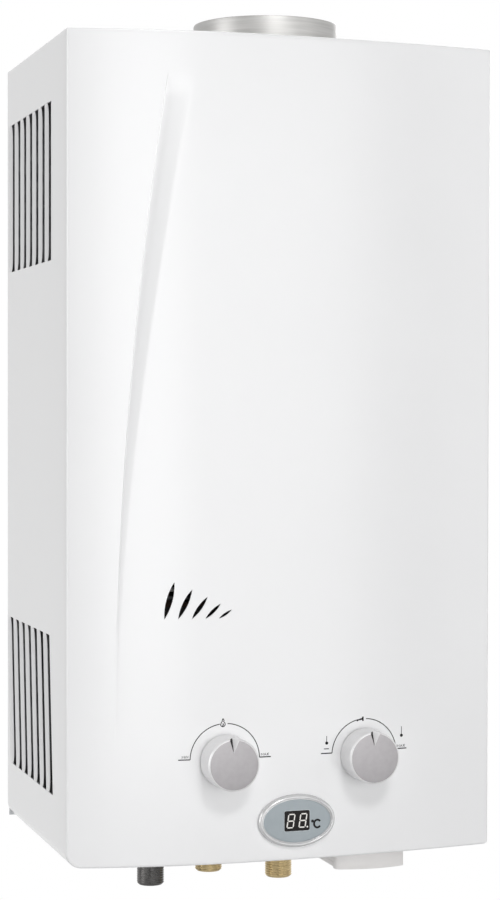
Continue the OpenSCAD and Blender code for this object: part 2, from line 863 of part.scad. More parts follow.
module burner_bars() {
    len = bar_back - bar_front;
    head_w = 10;
    neck_w = 4;
    ports = 9;
    port_w = 2.4;
    port_d = 5;
    color(cast) each_bar() difference() {
        translate([0, bar_back, 0]) rotate([90, 0, 0]) linear_extrude(len) {
            translate([0, throat_z]) circle(r = throat_r);
            translate([-neck_w / 2, throat_z]) square([neck_w, bar_top - throat_z - head_w / 2]);
            translate([0, bar_top - head_w / 2]) circle(d = head_w);
            translate([-head_w / 2, bar_top - 1.6 * head_w]) square([head_w, 1.1 * head_w]);
        }
        translate([0, bar_front - 1, throat_z]) rotate([-90, 0, 0])
            cylinder(r = throat_r - 1.2, h = len / 2);
        for (i = [0 : ports - 1])
            translate([0, bar_front + (i + 0.5) * len / ports, bar_top])
                cube([2 * head_w, port_w, 2 * port_d], center = true);
    }
}

module gas_manifold() {
    h = manifold_w / 2;
    tab_w = 8;
    color(cast) {
        difference() {
            block([manifold_left, manifold_y - h, throat_z - h],
                [manifold_left + manifold_len, manifold_y + h, throat_z + h]);
            each_bar() translate([0, manifold_y, throat_z]) rotate([-90, 0, 0])
                cylinder(r = 2, h = manifold_w);
        }
        for (x = [manifold_left, manifold_left + manifold_len - tab_w])
            translate([x, manifold_back, throat_z]) block([0, -h, 3.5], [tab_w, manifold_gap, h + 5]);
    }
}

module gas_jets() {
    color(brass) each_bar() translate([0, manifold_back, throat_z]) rotate([-90, 0, 0]) difference() {
        union() {
            cylinder(r = 3, h = manifold_gap + 0.5);
            translate([0, 0, manifold_gap + 0.5]) cylinder(r1 = 3, r2 = 1.4, h = 2);
            translate([0, 0, -4]) cylinder(r = 2 - run_gap, h = 4);
        }
        translate([0, 0, -5]) cylinder(r = 0.6, h = 12);
    }
}

module gas_pipe() {
    color(cast) pipe([
        [gas_knob_x, valve_y, gas_outlet_z],
        [gas_knob_x, valve_y, gas_pipe_z],
        [gas_knob_x, manifold_y, gas_pipe_z],
        [gas_knob_x, manifold_y, throat_z - manifold_w / 2]], gas_pipe_d, gas_pipe_d - 1);
}

module electrode_bracket() {
    left = spark_x - 10;
    right = sense_x + 10;
    plate_t = 1.5;
    y = body_front - plate_t;
    color(steel) difference() {
        block([left, y, body_bottom + 1], [right, body_front, body_bottom + 24]);
        for (p = [[spark_x, spark_z], [sense_x, sense_z]])
            translate([p.x, y - 1, p.y]) rotate([-90, 0, 0])
                cylinder(r = ceramic_r + run_gap, h = plate_t + 2);
    }
}

module electrode(x, z, reach) {
    translate([x, 0, z]) {
        rod([0, ceramic_front, 0], [0, body_front + 16, 0], ceramic_r);
        rod([0, body_front - 5, 0], [0, body_front - 1.5, 0], ceramic_r + 2);
        rod([0, body_front + 16, 0], [0, body_front + reach, 0], 1);
    }
}

module ignition_electrode() {
    color(white) electrode(spark_x, spark_z, 34);
}

module flame_sensor() {
    color(white) electrode(sense_x, sense_z, 40);
}

// Valves and controls

module gas_valve() {
    bore_r = spindle_r + run_gap;
    color(cast) difference() {
        union() {
            rod([gas_knob_x, gas_gland_y, knob_z], [gas_knob_x, thread_y, knob_z], gas_valve_r);
            rod([gas_knob_x, gas_gland_y - gland_len, knob_z],
                [gas_knob_x, gas_gland_y, knob_z], spindle_r + 5);
            rod([gas_x, thread_y, joint_z],
                [gas_x, thread_y, knob_z + gas_valve_r - 6], thread_d / 2 + 3.5);
            rod([gas_knob_x, valve_y, knob_z], [gas_knob_x, valve_y, gas_outlet_z], gas_pipe_d / 2 + 5);
            rod([gas_knob_x, valve_y, knob_z], [rod_boss_x, valve_y, knob_z], rod_r + 8);
            rod([gas_knob_x - gas_valve_r - 4, valve_y, knob_z], [gas_knob_x, valve_y, knob_z], 16);
            block([rod_boss_x - 12, valve_y + switch_w / 2, knob_z + rod_r + 2.5],
                [switch_right - 2, valve_y + switch_w / 2 + 2, switch_z + switch_h]);
        }
        rod([gas_knob_x, gas_gland_y - gland_len - 1, knob_z],
            [gas_knob_x, gas_gland_y + spindle_seat, knob_z], bore_r);
        rod([rod_end_x - rod_travel - 4, valve_y, knob_z],
            [rod_boss_x + 1, valve_y, knob_z], rod_r + run_gap);
    }
}

module solenoid() {
    right = gas_knob_x - gas_valve_r - 4;
    coil_len = 40;
    color(black) translate([right, valve_y, knob_z]) rotate([0, -90, 0]) {
        cylinder(r = 17, h = 2.5);
        cylinder(r = 14.5, h = coil_len);
        translate([0, 0, coil_len - 2.5]) cylinder(r = 17, h = 2.5);
        cylinder(r = 4, h = coil_len + 4);
    }
}

module valve_screw_place() {
    for (i = [0 : screw_n - 1]) {
        a = (i + 0.5) * 360 / screw_n;
        translate([0, valve_y + screw_ring_r * cos(a), knob_z + screw_ring_r * sin(a)]) children();
    }
}

module water_valve() {
    inlet_r = thread_d / 2 + 3.5;
    inlet_top = knob_z - water_valve_r - 0.5;
    bridge_left = body_side + 1;
    bridge_right = body_side + water_half_t - 1;
    color(cast) difference() {
        union() {
            rod([body_side, valve_y, knob_z], [body_side + water_half_t, valve_y, knob_z], water_valve_r);
            rod([water_knob_x, water_gland_y, knob_z], [water_knob_x, valve_y, knob_z], 13);
            rod([water_knob_x, water_gland_y - gland_len, knob_z],
                [water_knob_x, water_gland_y, knob_z], spindle_r + 5);
            rod([cold_x, thread_y, joint_z], [cold_x, thread_y, inlet_top], inlet_r);
            block([bridge_left, valve_y + 14, inlet_top - 6], [bridge_right, thread_y + 10, knob_z]);
            rod([body_side, valve_y, knob_z], [water_outlet_x, valve_y, knob_z], pipe_d / 2 + 3.5);
        }
        rod([water_knob_x, water_gland_y - gland_len - 1, knob_z],
            [water_knob_x, water_gland_y + spindle_seat, knob_z], spindle_r + run_gap);
        valve_screw_place() rod([body_side - 1, 0, 0], [body_side + 11, 0, 0], 2.1);
    }
}

module water_valve_cover() {
    right = seal_x - seal_t / 2;
    color(cast) difference() {
        union() {
            rod([cover_left, valve_y, knob_z], [right, valve_y, knob_z], water_valve_r);
            rod([cover_left - 8, valve_y, knob_z], [cover_left, valve_y, knob_z], 10);
        }
        rod([right - chamber_t, valve_y, knob_z], [right + 1, valve_y, knob_z], chamber_r);
        rod([cover_left - 9, valve_y, knob_z], [right, valve_y, knob_z], rod_r + run_gap);
        valve_screw_place() rod([cover_left - 1, 0, 0], [right + 1, 0, 0], 2.1);
    }
}

module diaphragm() {
    color(black) difference() {
        rod([seal_x - seal_t / 2, valve_y, knob_z],
            [seal_x + seal_t / 2, valve_y, knob_z], water_valve_r - 0.5);
        valve_screw_place() rod([seal_x - seal_t, 0, 0], [seal_x + seal_t, 0, 0], 2.1);
    }
}

module valve_screws() {
    color(steel) valve_screw_place() {
        rod([cover_left - 3, 0, 0], [cover_left, 0, 0], 3.4);
        rod([cover_left, 0, 0], [body_side + 10, 0, 0], 2);
    }
}

module push_rod() {
    color(brass) {
        rod([rod_end_x, valve_y, knob_z], [rod_plate_x, valve_y, knob_z], rod_r);
        rod([rod_plate_x - rod_plate_t, valve_y, knob_z], [rod_plate_x, valve_y, knob_z], rod_plate_r);
        rod([rod_collar_x, valve_y, knob_z], [rod_collar_x + rod_collar_t, valve_y, knob_z], rod_collar_r);
    }
}

lever_pin_r = 0.8;

module microswitch() {
    ear_t = (switch_w - lever_w) / 2 - fit_gap;
    left = switch_right - switch_len;
    color(black) difference() {
        union() {
            block([left, valve_y - switch_w / 2, switch_z],
                [switch_right, valve_y + switch_w / 2, switch_z + switch_h]);
            for (s = [-1, 1])
                translate([0, valve_y + s * (switch_w - ear_t) / 2, 0])
                    block([switch_right - eps, -ear_t / 2, lever_pivot_z - 2.5],
                        [lever_x + 2.2, ear_t / 2, lever_pivot_z + 2.5]);
        }
        rod([lever_x, valve_y - switch_w, lever_pivot_z],
            [lever_x, valve_y + switch_w, lever_pivot_z], lever_pin_r + run_gap);
    }
}

module switch_lever() {
    color(steel) {
        rod([lever_x, valve_y - lever_w / 2, lever_pivot_z],
            [lever_x, valve_y + lever_w / 2, lever_pivot_z], 1.6);
        rod([lever_x, valve_y - switch_w / 2, lever_pivot_z],
            [lever_x, valve_y + switch_w / 2, lever_pivot_z], lever_pin_r);
        block([lever_x - 0.5, valve_y - lever_w / 2, lever_pivot_z - lever_len],
            [lever_x + 0.5, valve_y + lever_w / 2, lever_pivot_z]);
    }
}

function knob_base_y(x) = foremost_y(x, knob_d / 2) - knob_gap;

module spindle(x, gland_y) {
    tip = knob_base_y(x) - knob_hub_len + 2;
    seat = gland_y + spindle_seat - 1;
    difference() {
        union() {
            rod([x, tip, knob_z], [x, seat, knob_z], spindle_r);
            rod([x, gland_y - gland_len - 3.3, knob_z],
                [x, gland_y - gland_len - fit_gap, knob_z], spindle_r + 2.5);
        }
        translate([x, tip, knob_z]) block([-spindle_d, -1, spindle_r * 0.6],
            [spindle_d, knob_hub_len - 2, spindle_d]);
    }
}

module gas_spindle() {
    color(brass) spindle(gas_knob_x, gas_gland_y);
}

module water_spindle() {
    color(brass) spindle(water_knob_x, water_gland_y);
}

// Knob with a hollow back, a hub on the spindle and a pointer notch at the top of its face
module knob(x) {
    wall = 2;
    crown = 1.2;
    edge = 1.2;
    notch_w = 7;
    notch_len = 8;
    notch_d = 3;
    translate([x, knob_base_y(x), knob_z]) difference() {
        union() {
            difference() {
                rotate([90, 0, 0]) rotate_extrude($fn = 96) polygon([[0, 0], [knob_d / 2, 0],
                    [knob_face_d / 2, knob_h - crown - edge], [knob_face_d / 2 - edge, knob_h - crown],
                        [0, knob_h]]);
                rotate([90, 0, 0]) translate([0, 0, -1])
                    cylinder(r = knob_face_d / 2 - wall, h = knob_h - 3 - wall, $fn = 96);
            }
            rotate([90, 0, 0]) cylinder(r = knob_hub_r, h = knob_h - 3);
        }
        rotate([90, 0, 0]) translate([0, 0, -1]) intersection() {
            cylinder(r = spindle_r + run_gap / 2, h = knob_hub_len);
            block([-spindle_d, -spindle_d, 0], [spindle_d, spindle_r * 0.6 + run_gap / 2, knob_hub_len]);
        }
        translate([0, crown / 2 - knob_h, knob_face_d / 2 - notch_len])
            rotate([-atan(notch_d / notch_len), 0, 0])
            linear_extrude(2 * notch_len) polygon([[-notch_w, -2 * notch_d], [notch_w, -2 * notch_d],
                [0, 0]]);
    }
}

module gas_knob() {
    color(cast) knob(gas_knob_x);
}

module water_knob() {
    color(cast) knob(water_knob_x);
}

// Threaded ends

module nipple(x, z_end) {
    r = thread_d / 2;
    ch = 1.5;
    top = casing_bottom - 0.5;
    translate([x, thread_y, 0]) rotate_extrude($fn = 96)
        polygon([[thread_bore / 2, z_end], [r - ch, z_end], [r, z_end + ch], [r, top],
            [shank_r, top], [shank_r, joint_z], [thread_bore / 2, joint_z]]);
}

module gas_nipple() {
    color(black) nipple(gas_x, casing_bottom - thread_drop);
}

module hot_nipple() {
    color(brass) nipple(hot_x, casing_bottom - thread_drop + hot_short);
}

module cold_nipple() {
    color(brass) nipple(cold_x, casing_bottom - thread_drop);
}

module nipple_nuts() {
    nut_h = 9;
    color(brass) for (x = [gas_x, hot_x, cold_x])
        translate([x, thread_y, casing_bottom + 2 * sheet_t])
            hex_nut(thread_d + 8, shank_r + run_gap, nut_h);
}

module inlet_strainer() {
    r = thread_bore / 2 - run_gap;
    z = casing_bottom - thread_drop + 6;
    hole_n = 6;
    color(steel) translate([cold_x, thread_y, z]) difference() {
        cylinder(r = r, h = 14);
        translate([0, 0, 1.2]) cylinder(r = r - 1, h = 14);
        translate([0, 0, -1]) cylinder(r = 1, h = 4);
        for (i = [0 : hole_n - 1]) rotate([0, 0, i * 360 / hole_n]) translate([r * 0.55, 0, -1])
            cylinder(r = 1.2, h = 4);
    }
}

// Electrics

module ignition_box() {
    color(black) {
        block([elec_left, elec_front + 3, elec_bottom],
            [elec_left + elec_w, -sheet_t, elec_bottom + elec_h]);
        block([elec_left + 3, elec_front, elec_bottom + 3],
            [elec_left + elec_w - 3, elec_front + 3, elec_bottom + elec_h - 3]);
    }
}

// Outline of the battery box with its bowed front, shrunk by an even amount
module battery_outline(inset) {
    intersection() {
        translate([box_left + inset, box_front + inset])
            square([battery_w - 2 * inset, battery_d - 2 * inset]);
        translate([battery_x, box_front + box_crown_r]) circle(r = box_crown_r - inset, $fn = 256);
    }
}

module battery_box() {
    seat = casing_bottom + 2 * sheet_t;
    inner_top = box_top - battery_wall;
    rib_w = (battery_w - 2 * battery_wall - cell_d) / 2 - door_gap;
    color(plastic) difference() {
        union() {
            difference() {
                union() {
                    translate([0, 0, box_bottom]) linear_extrude(box_top - box_bottom) battery_outline(0);
                    block([box_left - 4, box_front + 6, seat],
                        [box_right + 4, box_back + 4, seat + flange_t]);
                }
                translate([0, 0, box_bottom - 1]) linear_extrude(inner_top - box_bottom + 1)
                    battery_outline(battery_wall);
            }
            for (s = [-1, 1], y = [box_back - 16, box_back - 52])
                translate([battery_x + s * (battery_w / 2 - battery_wall / 2 - rib_w / 2), y,
                    box_bottom + 2])
                    translate([-rib_w / 2 - battery_wall / 2, -1, 0])
                        cube([rib_w + battery_wall, 2, inner_top - box_bottom - 1]);
            for (s = [-1, 1])
                translate([battery_x + s * (battery_w / 2 - 7), 0, 0])
                    block([-3, box_back - 1, hinge_z - hinge_r], [3, hinge_y + hinge_r, box_bottom + 3]);
        }
        for (s = [-1, 1])
            translate([battery_x + s * (battery_w / 2 - 7), 0, 0])
                block([-4, box_back - 3, hinge_z - 2 * hinge_r], [4, box_back, box_bottom]);
        rod([box_left - 1, hinge_y, hinge_z], [box_right + 1, hinge_y, hinge_z], pin_r + run_gap);
    }
}

module battery_door() {
    ear_in = battery_w / 2 - 10 - door_gap;
    color(plastic) difference() {
        union() {
            translate([0, 0, box_bottom - fit_gap - door_t]) linear_extrude(door_t) battery_outline(0);
            rod([battery_x - ear_in, hinge_y, hinge_z],
                [battery_x + ear_in, hinge_y, hinge_z], hinge_r - 0.6);
            block([battery_x - ear_in, box_back - 2, hinge_z - door_t / 2],
                [battery_x + ear_in, hinge_y, hinge_z + door_t / 2]);
            rod([box_left + 2, hinge_y, hinge_z], [box_right - 2, hinge_y, hinge_z], pin_r);
            block([battery_x - 8, box_front + battery_wall + 1, box_bottom - fit_gap - eps],
                [battery_x + 8, box_front + battery_wall + 2.6, box_bottom + 5]);
        }
        for (s = [-1, 1])
            translate([battery_x + s * (battery_w / 2 - 7), 0, 0])
                block([-3 - door_gap, box_back - 1.4, hinge_z - hinge_r],
                    [3 + door_gap, box_back + 1, box_bottom]);
    }
}

cell_low_z = box_bottom + cell_d / 2 + 1;
cell_high_z = cell_low_z + cell_d + 0.4;
cell_back = box_back - battery_wall - (battery_d - 2 * battery_wall - cell_len) / 2 + 0.4;

module battery_cells() {
    cap_len = 1.8;
    color(brass) for (z = [cell_low_z, cell_high_z]) {
        turned = z == cell_high_z;
        can_front = cell_back - cell_len + (turned ? 0 : cap_len);
        can_back = cell_back - (turned ? cap_len : 0);
        rod([battery_x, can_front, z], [battery_x, can_back, z], cell_d / 2);
        rod([battery_x, cell_back - cell_len, z], [battery_x, cell_back, z], 4.75);
    }
}

module battery_contacts() {
    t = 0.4;
    half = 7;
    front_in = box_front + battery_wall + 2 * run_gap;
    color(steel) for (z = [cell_low_z, cell_high_z]) {
        block([battery_x - half, cell_back, z - half], [battery_x + half, cell_back + t, z + half]);
        block([battery_x - half, cell_back - cell_len - t, z - half],
            [battery_x + half, cell_back - cell_len, z + half]);
        rod([battery_x, cell_back + t, z], [battery_x, box_back - battery_wall, z], 3);
        rod([battery_x, front_in, z], [battery_x, cell_back - cell_len - t, z], 3);
    }
}

// Display

module display_bezel() {
    skirt_w = face_w + 2 * bezel_skirt;
    skirt_h = face_h + 2 * bezel_skirt;
    soft = 1;
    back = 9;
    color(cast) at_display() difference() {
        union() {
            oval_plate(bezel_w, bezel_h, -bezel_proud + soft, -0.15);
            oval_plate(bezel_w - 2 * soft, bezel_h - 2 * soft, -bezel_proud, -0.15);
            oval_plate(skirt_w, skirt_h, -0.2, back);
        }
        oval_plate(face_w, face_h, -bezel_proud - 1, back + 1);
    }
}

module display_face() {
    gap = run_gap;
    color([0.62, 0.68, 0.74]) at_display() difference() {
        oval_plate(face_w - 2 * gap, face_h - 2 * gap, -bezel_proud + 1.2, face_back);
        cube([window_w, 20, window_h], center = true);
    }
}

module display_window() {
    w = window_w - 2 * run_gap;
    h = window_h - 2 * run_gap;
    color(black) at_display() block([-w / 2, -bezel_proud + 1, -h / 2], [w / 2, face_back, h / 2]);
}

module display_board() {
    w = face_w * 0.74;
    h = face_h * 0.58;
    color([0.1, 0.35, 0.2]) at_display() {
        block([-w / 2, board_y, -h / 2], [w / 2, board_y + board_t, h / 2]);
        block([-window_w / 2, face_back + run_gap, -window_h / 2 + 1],
            [window_w / 2, board_y, window_h / 2 - 1]);
    }
}

// Leads, clipped along the inside of the casing

module lead(points) {
    pipe(points, lead_d, lead_bend);
}

module ignition_lead() {
    x = riser_x - pipe_d / 2 - lead_d;
    color(white) lead([[x, elec_front, elec_bottom + 50], [x, lead_front, elec_bottom + 50],
        [x, lead_front, spark_z],
        [spark_x, lead_front, spark_z], [spark_x, ceramic_front, spark_z]]);
}

module sensor_lead() {
    x = riser_x - pipe_d / 2 - 2.5 * lead_d;
    color(black) lead([[x, elec_front, elec_bottom + 40], [x, lead_front, elec_bottom + 40],
        [x, lead_front, sense_z],
        [sense_x, lead_front, sense_z], [sense_x, ceramic_front, sense_z]]);
}

module solenoid_lead() {
    x = body_left - 4;
    z = tray_bottom + 14;
    color(black) lead([[x, lead_y, elec_bottom], [x, lead_y, z], [x, valve_y, z],
        [x, valve_y, knob_z + 14.5]]);
}

module switch_lead() {
    x = switch_right - switch_len / 2;
    z = tray_bottom - 9;
    start = elec_left + elec_w - 8;
    color(black) lead([[start, lead_y, elec_bottom], [start, lead_y, z], [x, lead_y, z], [x, valve_y, z],
        [x, valve_y, switch_z + switch_h]]);
}

module battery_lead() {
    x = elec_left + 10;
    y = box_back + 14;
    z = casing_bottom + 10;
    color(black) lead([[x, lead_y, elec_bottom], [x, lead_y, z], [x, y, z], [battery_x, y, z],
        [battery_x, box_back, z]]);
}

module display_lead() {
    x = elec_left + 18;
    y = box_back + 4;
    end = front_y(panel_x) + board_y + board_t + fit_gap;
    color(black) lead([[x, lead_y, elec_bottom], [x, lead_y, display_z], [x, y, display_z],
        [panel_x, y, display_z], [panel_x, end, display_z]]);
}

back_plate();
support_brackets();
front_cover();
top_plate();
bottom_plate();
cover_screws();
flue_collar();
draft_hood();
spill_thermostat();
heat_body();
exchanger_fins();
exchanger_tubes();
jacket_coil();
hot_pipe();
cold_pipe();
pipe_nuts();
overheat_thermostat();
burner_tray();
burner_bars();
gas_manifold();
gas_jets();
gas_pipe();
electrode_bracket();
ignition_electrode();
flame_sensor();
gas_valve();
solenoid();
water_valve();
water_valve_cover();
diaphragm();
valve_screws();
push_rod();
microswitch();
switch_lever();
gas_spindle();
water_spindle();
gas_knob();
water_knob();
gas_nipple();
hot_nipple();
cold_nipple();
nipple_nuts();
inlet_strainer();
ignition_box();
battery_box();
battery_door();
battery_cells();
battery_contacts();
display_bezel();
display_face();
display_window();
display_board();
ignition_lead();
sensor_lead();
solenoid_lead();
switch_lead();
battery_lead();
display_lead();
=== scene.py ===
"""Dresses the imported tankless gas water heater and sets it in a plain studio.

Sizes are in millimetres in the heater's own frame: X to the right, Y into the wall, Z up, with the origin
on the wall plane between the four wall holes. Meshes are scaled to metres when they are made.
"""

import json
import logging
from collections.abc import Callable, Sequence
from dataclasses import dataclass, field
from enum import Enum
from itertools import product
from math import asin, atan, atan2, cos, degrees, hypot, pi, radians, sin, sqrt, tan, tau

import bmesh
import bpy
from mathutils import Matrix, Vector


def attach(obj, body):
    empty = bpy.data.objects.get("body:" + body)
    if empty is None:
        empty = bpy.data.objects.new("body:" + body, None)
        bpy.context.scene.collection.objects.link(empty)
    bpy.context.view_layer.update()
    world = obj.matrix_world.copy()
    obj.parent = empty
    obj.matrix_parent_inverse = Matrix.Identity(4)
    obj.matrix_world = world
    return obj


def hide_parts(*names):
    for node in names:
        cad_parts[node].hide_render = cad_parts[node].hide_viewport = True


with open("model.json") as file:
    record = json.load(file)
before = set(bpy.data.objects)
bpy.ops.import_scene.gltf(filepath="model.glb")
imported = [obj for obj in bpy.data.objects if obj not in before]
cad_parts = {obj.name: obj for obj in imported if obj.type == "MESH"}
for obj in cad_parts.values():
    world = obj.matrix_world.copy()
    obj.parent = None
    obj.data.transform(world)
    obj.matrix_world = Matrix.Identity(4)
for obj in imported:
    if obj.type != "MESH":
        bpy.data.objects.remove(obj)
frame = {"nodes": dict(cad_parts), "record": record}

log = logging.getLogger("heater")
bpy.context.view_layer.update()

Piece = bpy.types.Object
Point = tuple[float, float, float]
Flat = tuple[float, float]
Rgb = tuple[float, float, float]
Line = Sequence[Flat]
Rows = Sequence[Sequence[Point]]
Skin = Callable[[float, float, float], Point]

MM = 0.001
GAS_X, WATER_X, KNOB_Z = -47.5, 56.5, -217.5
DISPLAY_X, DISPLAY_Z = 4.5, -262.0
SCREW_X, SCREW_INSET = (-120.5, 120.5), 7.0
COAT_ROUGH = 0.2
TONE_STOPS = (0.32, 0.68)
GLOSS_FROM = (0.25, 0.75)


class Body(Enum):
    """Bodies of the frame that the dressed pieces ride on."""

    HEATER = "heater"
    GAS = "gas_control"
    WATER = "water_control"
    DOOR = "door"


class Grain(Enum):
    """Fine structure of a finish."""

    PEEL = "peel"
    SPANGLE = "spangle"
    BRUSHED = "brushed"
    CAST = "cast"
    MOULDED = "moulded"


def settle(node: bpy.types.Node, values: dict[str, float | tuple[float, ...]]) -> bpy.types.Node:
    """Sets named sockets of a shader node.

    Args:
        node: Shader node.
        values: Value of each socket, by name.

    Returns:
        The same node.
    """
    for name, value in values.items():
        node.inputs[name].default_value = value
    return node


@dataclass(frozen=True)
class Finish:
    """A procedural finish: two tones in a grain, a roughness range and a fine relief."""

    slot: str
    light: Rgb
    dark: Rgb
    grain: Grain
    coarse: float
    fine: float
    metallic: float = 0.0
    rough: Flat = (0.35, 0.45)
    relief: float = 0.1
    depth: float = 0.0001
    stretch: Point = (1.0, 1.0, 1.0)
    coat: float = 0.0
    shine: float = 0.5
    painted_glow: float = 0.0
    label: str = ""

    def material(self) -> bpy.types.Material:
        """Makes the node material, or finds the one made before.

        Returns:
            The material of this finish.
        """
        name = f"{self.label or self.slot}_finish"
        if name in bpy.data.materials:
            return bpy.data.materials[name]
        made = bpy.data.materials.new(name)
        made.use_nodes = True
        made.diffuse_color = (*self.light, 1.0)
        nodes, link = made.node_tree.nodes, made.node_tree.links.new
        shader = settle(nodes["Principled BSDF"], {
            "Metallic": self.metallic, "Specular IOR Level": self.shine, "Coat Weight": self.coat,
            "Coat Roughness": COAT_ROUGH})
        # Emission here is a painted glow.
        if self.painted_glow:
            settle(shader, {"Emission Color": (*self.light, 1.0), "Emission Strength": self.painted_glow})
        place = nodes.new("ShaderNodeTexCoord")
        stretch = settle(nodes.new("ShaderNodeMapping"), {"Scale": self.stretch})
        link(place.outputs["Object"], stretch.inputs["Vector"])
        if self.grain is Grain.SPANGLE:
            tone = settle(nodes.new("ShaderNodeTexVoronoi"), {"Scale": self.coarse, "Randomness": 1.0})
            tone_out = tone.outputs["Color"]
        else:
            tone = settle(nodes.new("ShaderNodeTexNoise"), {"Scale": self.coarse, "Detail": 4.0})
            tone_out = tone.outputs["Fac"]
        link(stretch.outputs["Vector"], tone.inputs["Vector"])
        ramp = nodes.new("ShaderNodeValToRGB")
        for stop, position, tint in zip(ramp.color_ramp.elements, TONE_STOPS, (self.dark, self.light)):
            stop.position, stop.color = position, (*tint, 1.0)
        link(tone_out, ramp.inputs["Fac"])
        link(ramp.outputs["Color"], shader.inputs["Base Color"])
        gloss = settle(nodes.new("ShaderNodeMapRange"), {
            "From Min": GLOSS_FROM[0], "From Max": GLOSS_FROM[1],
            "To Min": self.rough[0], "To Max": self.rough[1]})
        link(tone_out, gloss.inputs["Value"])
        link(gloss.outputs["Result"], shader.inputs["Roughness"])
        detail = 1.0 if self.grain is Grain.PEEL else 3.0
        grit = settle(nodes.new("ShaderNodeTexNoise"), {"Scale": self.fine, "Detail": detail})
        link(stretch.outputs["Vector"], grit.inputs["Vector"])
        bump = settle(nodes.new("ShaderNodeBump"), {"Strength": self.relief, "Distance": self.depth})
        link(grit.outputs["Fac"], bump.inputs["Height"])
        link(bump.outputs["Normal"], shader.inputs["Normal"])
        return made


ENAMEL = Finish("white_enamel", (0.865, 0.866, 0.872), (0.848, 0.849, 0.855), Grain.PEEL, 9, 520,
                rough=(0.3, 0.36), relief=0.05, depth=0.00012, coat=0.7)
# Near-black inner side of the cover: painted shade, so the inside seen through the openings reads dark.
INNER_PAINTED_SHADE = Finish("white_enamel", (0.07, 0.07, 0.072), (0.045, 0.045, 0.047), Grain.CAST, 40, 900,
                rough=(0.6, 0.7), shine=0.1, label="cover_inner_painted_shade")
ZINC = Finish("galvanised_steel", (0.46, 0.47, 0.48), (0.385, 0.395, 0.41), Grain.SPANGLE, 150, 1800,
              metallic=0.9, rough=(0.34, 0.52), relief=0.12)
BRUSHED_ZINC = Finish("galvanised_steel", (0.5, 0.495, 0.485), (0.41, 0.405, 0.395), Grain.BRUSHED, 22, 60,
                      metallic=0.5, rough=(0.34, 0.46), relief=0.08, stretch=(1.0, 1.0, 30.0),
                      label="collar_brushed")
PLATED = Finish("screw_steel", (0.7, 0.7, 0.71), (0.56, 0.56, 0.58), Grain.BRUSHED, 300, 2500,
                metallic=1.0, rough=(0.25, 0.38), relief=0.08)
BURNER = Finish("burner_steel", (0.1, 0.093, 0.092), (0.05, 0.047, 0.05), Grain.SPANGLE, 60, 1500,
                metallic=0.6, rough=(0.45, 0.62), relief=0.15, shine=0.2)
COPPER = Finish("copper", (0.6, 0.33, 0.21), (0.34, 0.18, 0.12), Grain.CAST, 40, 900,
                metallic=1.0, rough=(0.26, 0.46), relief=0.08)
# Near-black copies of copper and steel for parts seen through the openings: painted shade, darker than the
# metals' own colour.
COPPER_PAINTED_SHADE = Finish("copper", (0.09, 0.055, 0.042), (0.04, 0.028, 0.024), Grain.CAST, 30, 800,
                       metallic=0.3, rough=(0.5, 0.66), relief=0.12, shine=0.1, label="copper_painted_shade")
STEEL_PAINTED_SHADE = Finish("galvanised_steel", (0.06, 0.055, 0.053), (0.03, 0.028, 0.028), Grain.CAST, 50, 1200,
                      metallic=0.3, rough=(0.5, 0.66), relief=0.12, shine=0.1, label="steel_painted_shade")
BRASS = Finish("brass", (0.66, 0.52, 0.28), (0.57, 0.44, 0.23), Grain.BRUSHED, 90, 1600,
               metallic=0.9, rough=(0.22, 0.32), relief=0.05, stretch=(1.0, 1.0, 6.0))
CAST_BRASS = Finish("cast_brass", (0.72, 0.57, 0.31), (0.56, 0.42, 0.22), Grain.CAST, 60, 1100,
                    metallic=1.0, rough=(0.4, 0.58), relief=0.35, depth=0.0002)
CAST_ALU = Finish("cast_aluminium", (0.66, 0.67, 0.68), (0.52, 0.53, 0.55), Grain.CAST, 70, 1200,
                  metallic=0.95, rough=(0.42, 0.6), relief=0.35, depth=0.0002)
DARK_STEEL = Finish("dark_steel", (0.17, 0.165, 0.16), (0.09, 0.088, 0.086), Grain.BRUSHED, 60, 1400,
                    metallic=0.9, rough=(0.2, 0.32), relief=0.08)
CERAMIC = Finish("ceramic", (0.86, 0.84, 0.8), (0.78, 0.76, 0.71), Grain.PEEL, 60, 1500,
                 rough=(0.2, 0.3), relief=0.05)
RUBBER = Finish("rubber", (0.05, 0.05, 0.052), (0.03, 0.03, 0.032), Grain.MOULDED, 120, 2600,
                rough=(0.6, 0.75), relief=0.15)
BLACK = Finish("black_plastic", (0.045, 0.045, 0.048), (0.028, 0.028, 0.03), Grain.MOULDED, 80, 2200,
               rough=(0.42, 0.55), relief=0.15)
SILVER = Finish("knob_silver", (0.8, 0.795, 0.8), (0.76, 0.755, 0.76), Grain.MOULDED, 500, 4200,
                metallic=0.15, rough=(0.3, 0.38), depth=0.00005, coat=0.3)
SATIN = Finish("knob_silver", (0.395, 0.38, 0.39), (0.365, 0.35, 0.36), Grain.BRUSHED, 260, 3600,
               metallic=0.3, rough=(0.42, 0.5), depth=0.00005, label="knob_face_satin")
WARM = Finish("warm_plastic", (0.9, 0.882, 0.868), (0.875, 0.857, 0.843), Grain.MOULDED, 60, 1900,
              rough=(0.38, 0.48), relief=0.14, depth=0.00008)
CELL = Finish("cell_can", (0.42, 0.3, 0.12), (0.34, 0.23, 0.08), Grain.BRUSHED, 80, 1400,
              metallic=0.6, rough=(0.26, 0.36), relief=0.05)
BEZEL = Finish("bezel_grey", (0.62, 0.622, 0.625), (0.58, 0.582, 0.585), Grain.MOULDED, 200, 2600,
               metallic=0.25, rough=(0.14, 0.2), relief=0.03, coat=0.5)
PANEL = Finish("panel_blue_grey", (0.375, 0.42, 0.445), (0.35, 0.395, 0.42), Grain.MOULDED, 120, 3200,
               rough=(0.4, 0.48), relief=0.05)
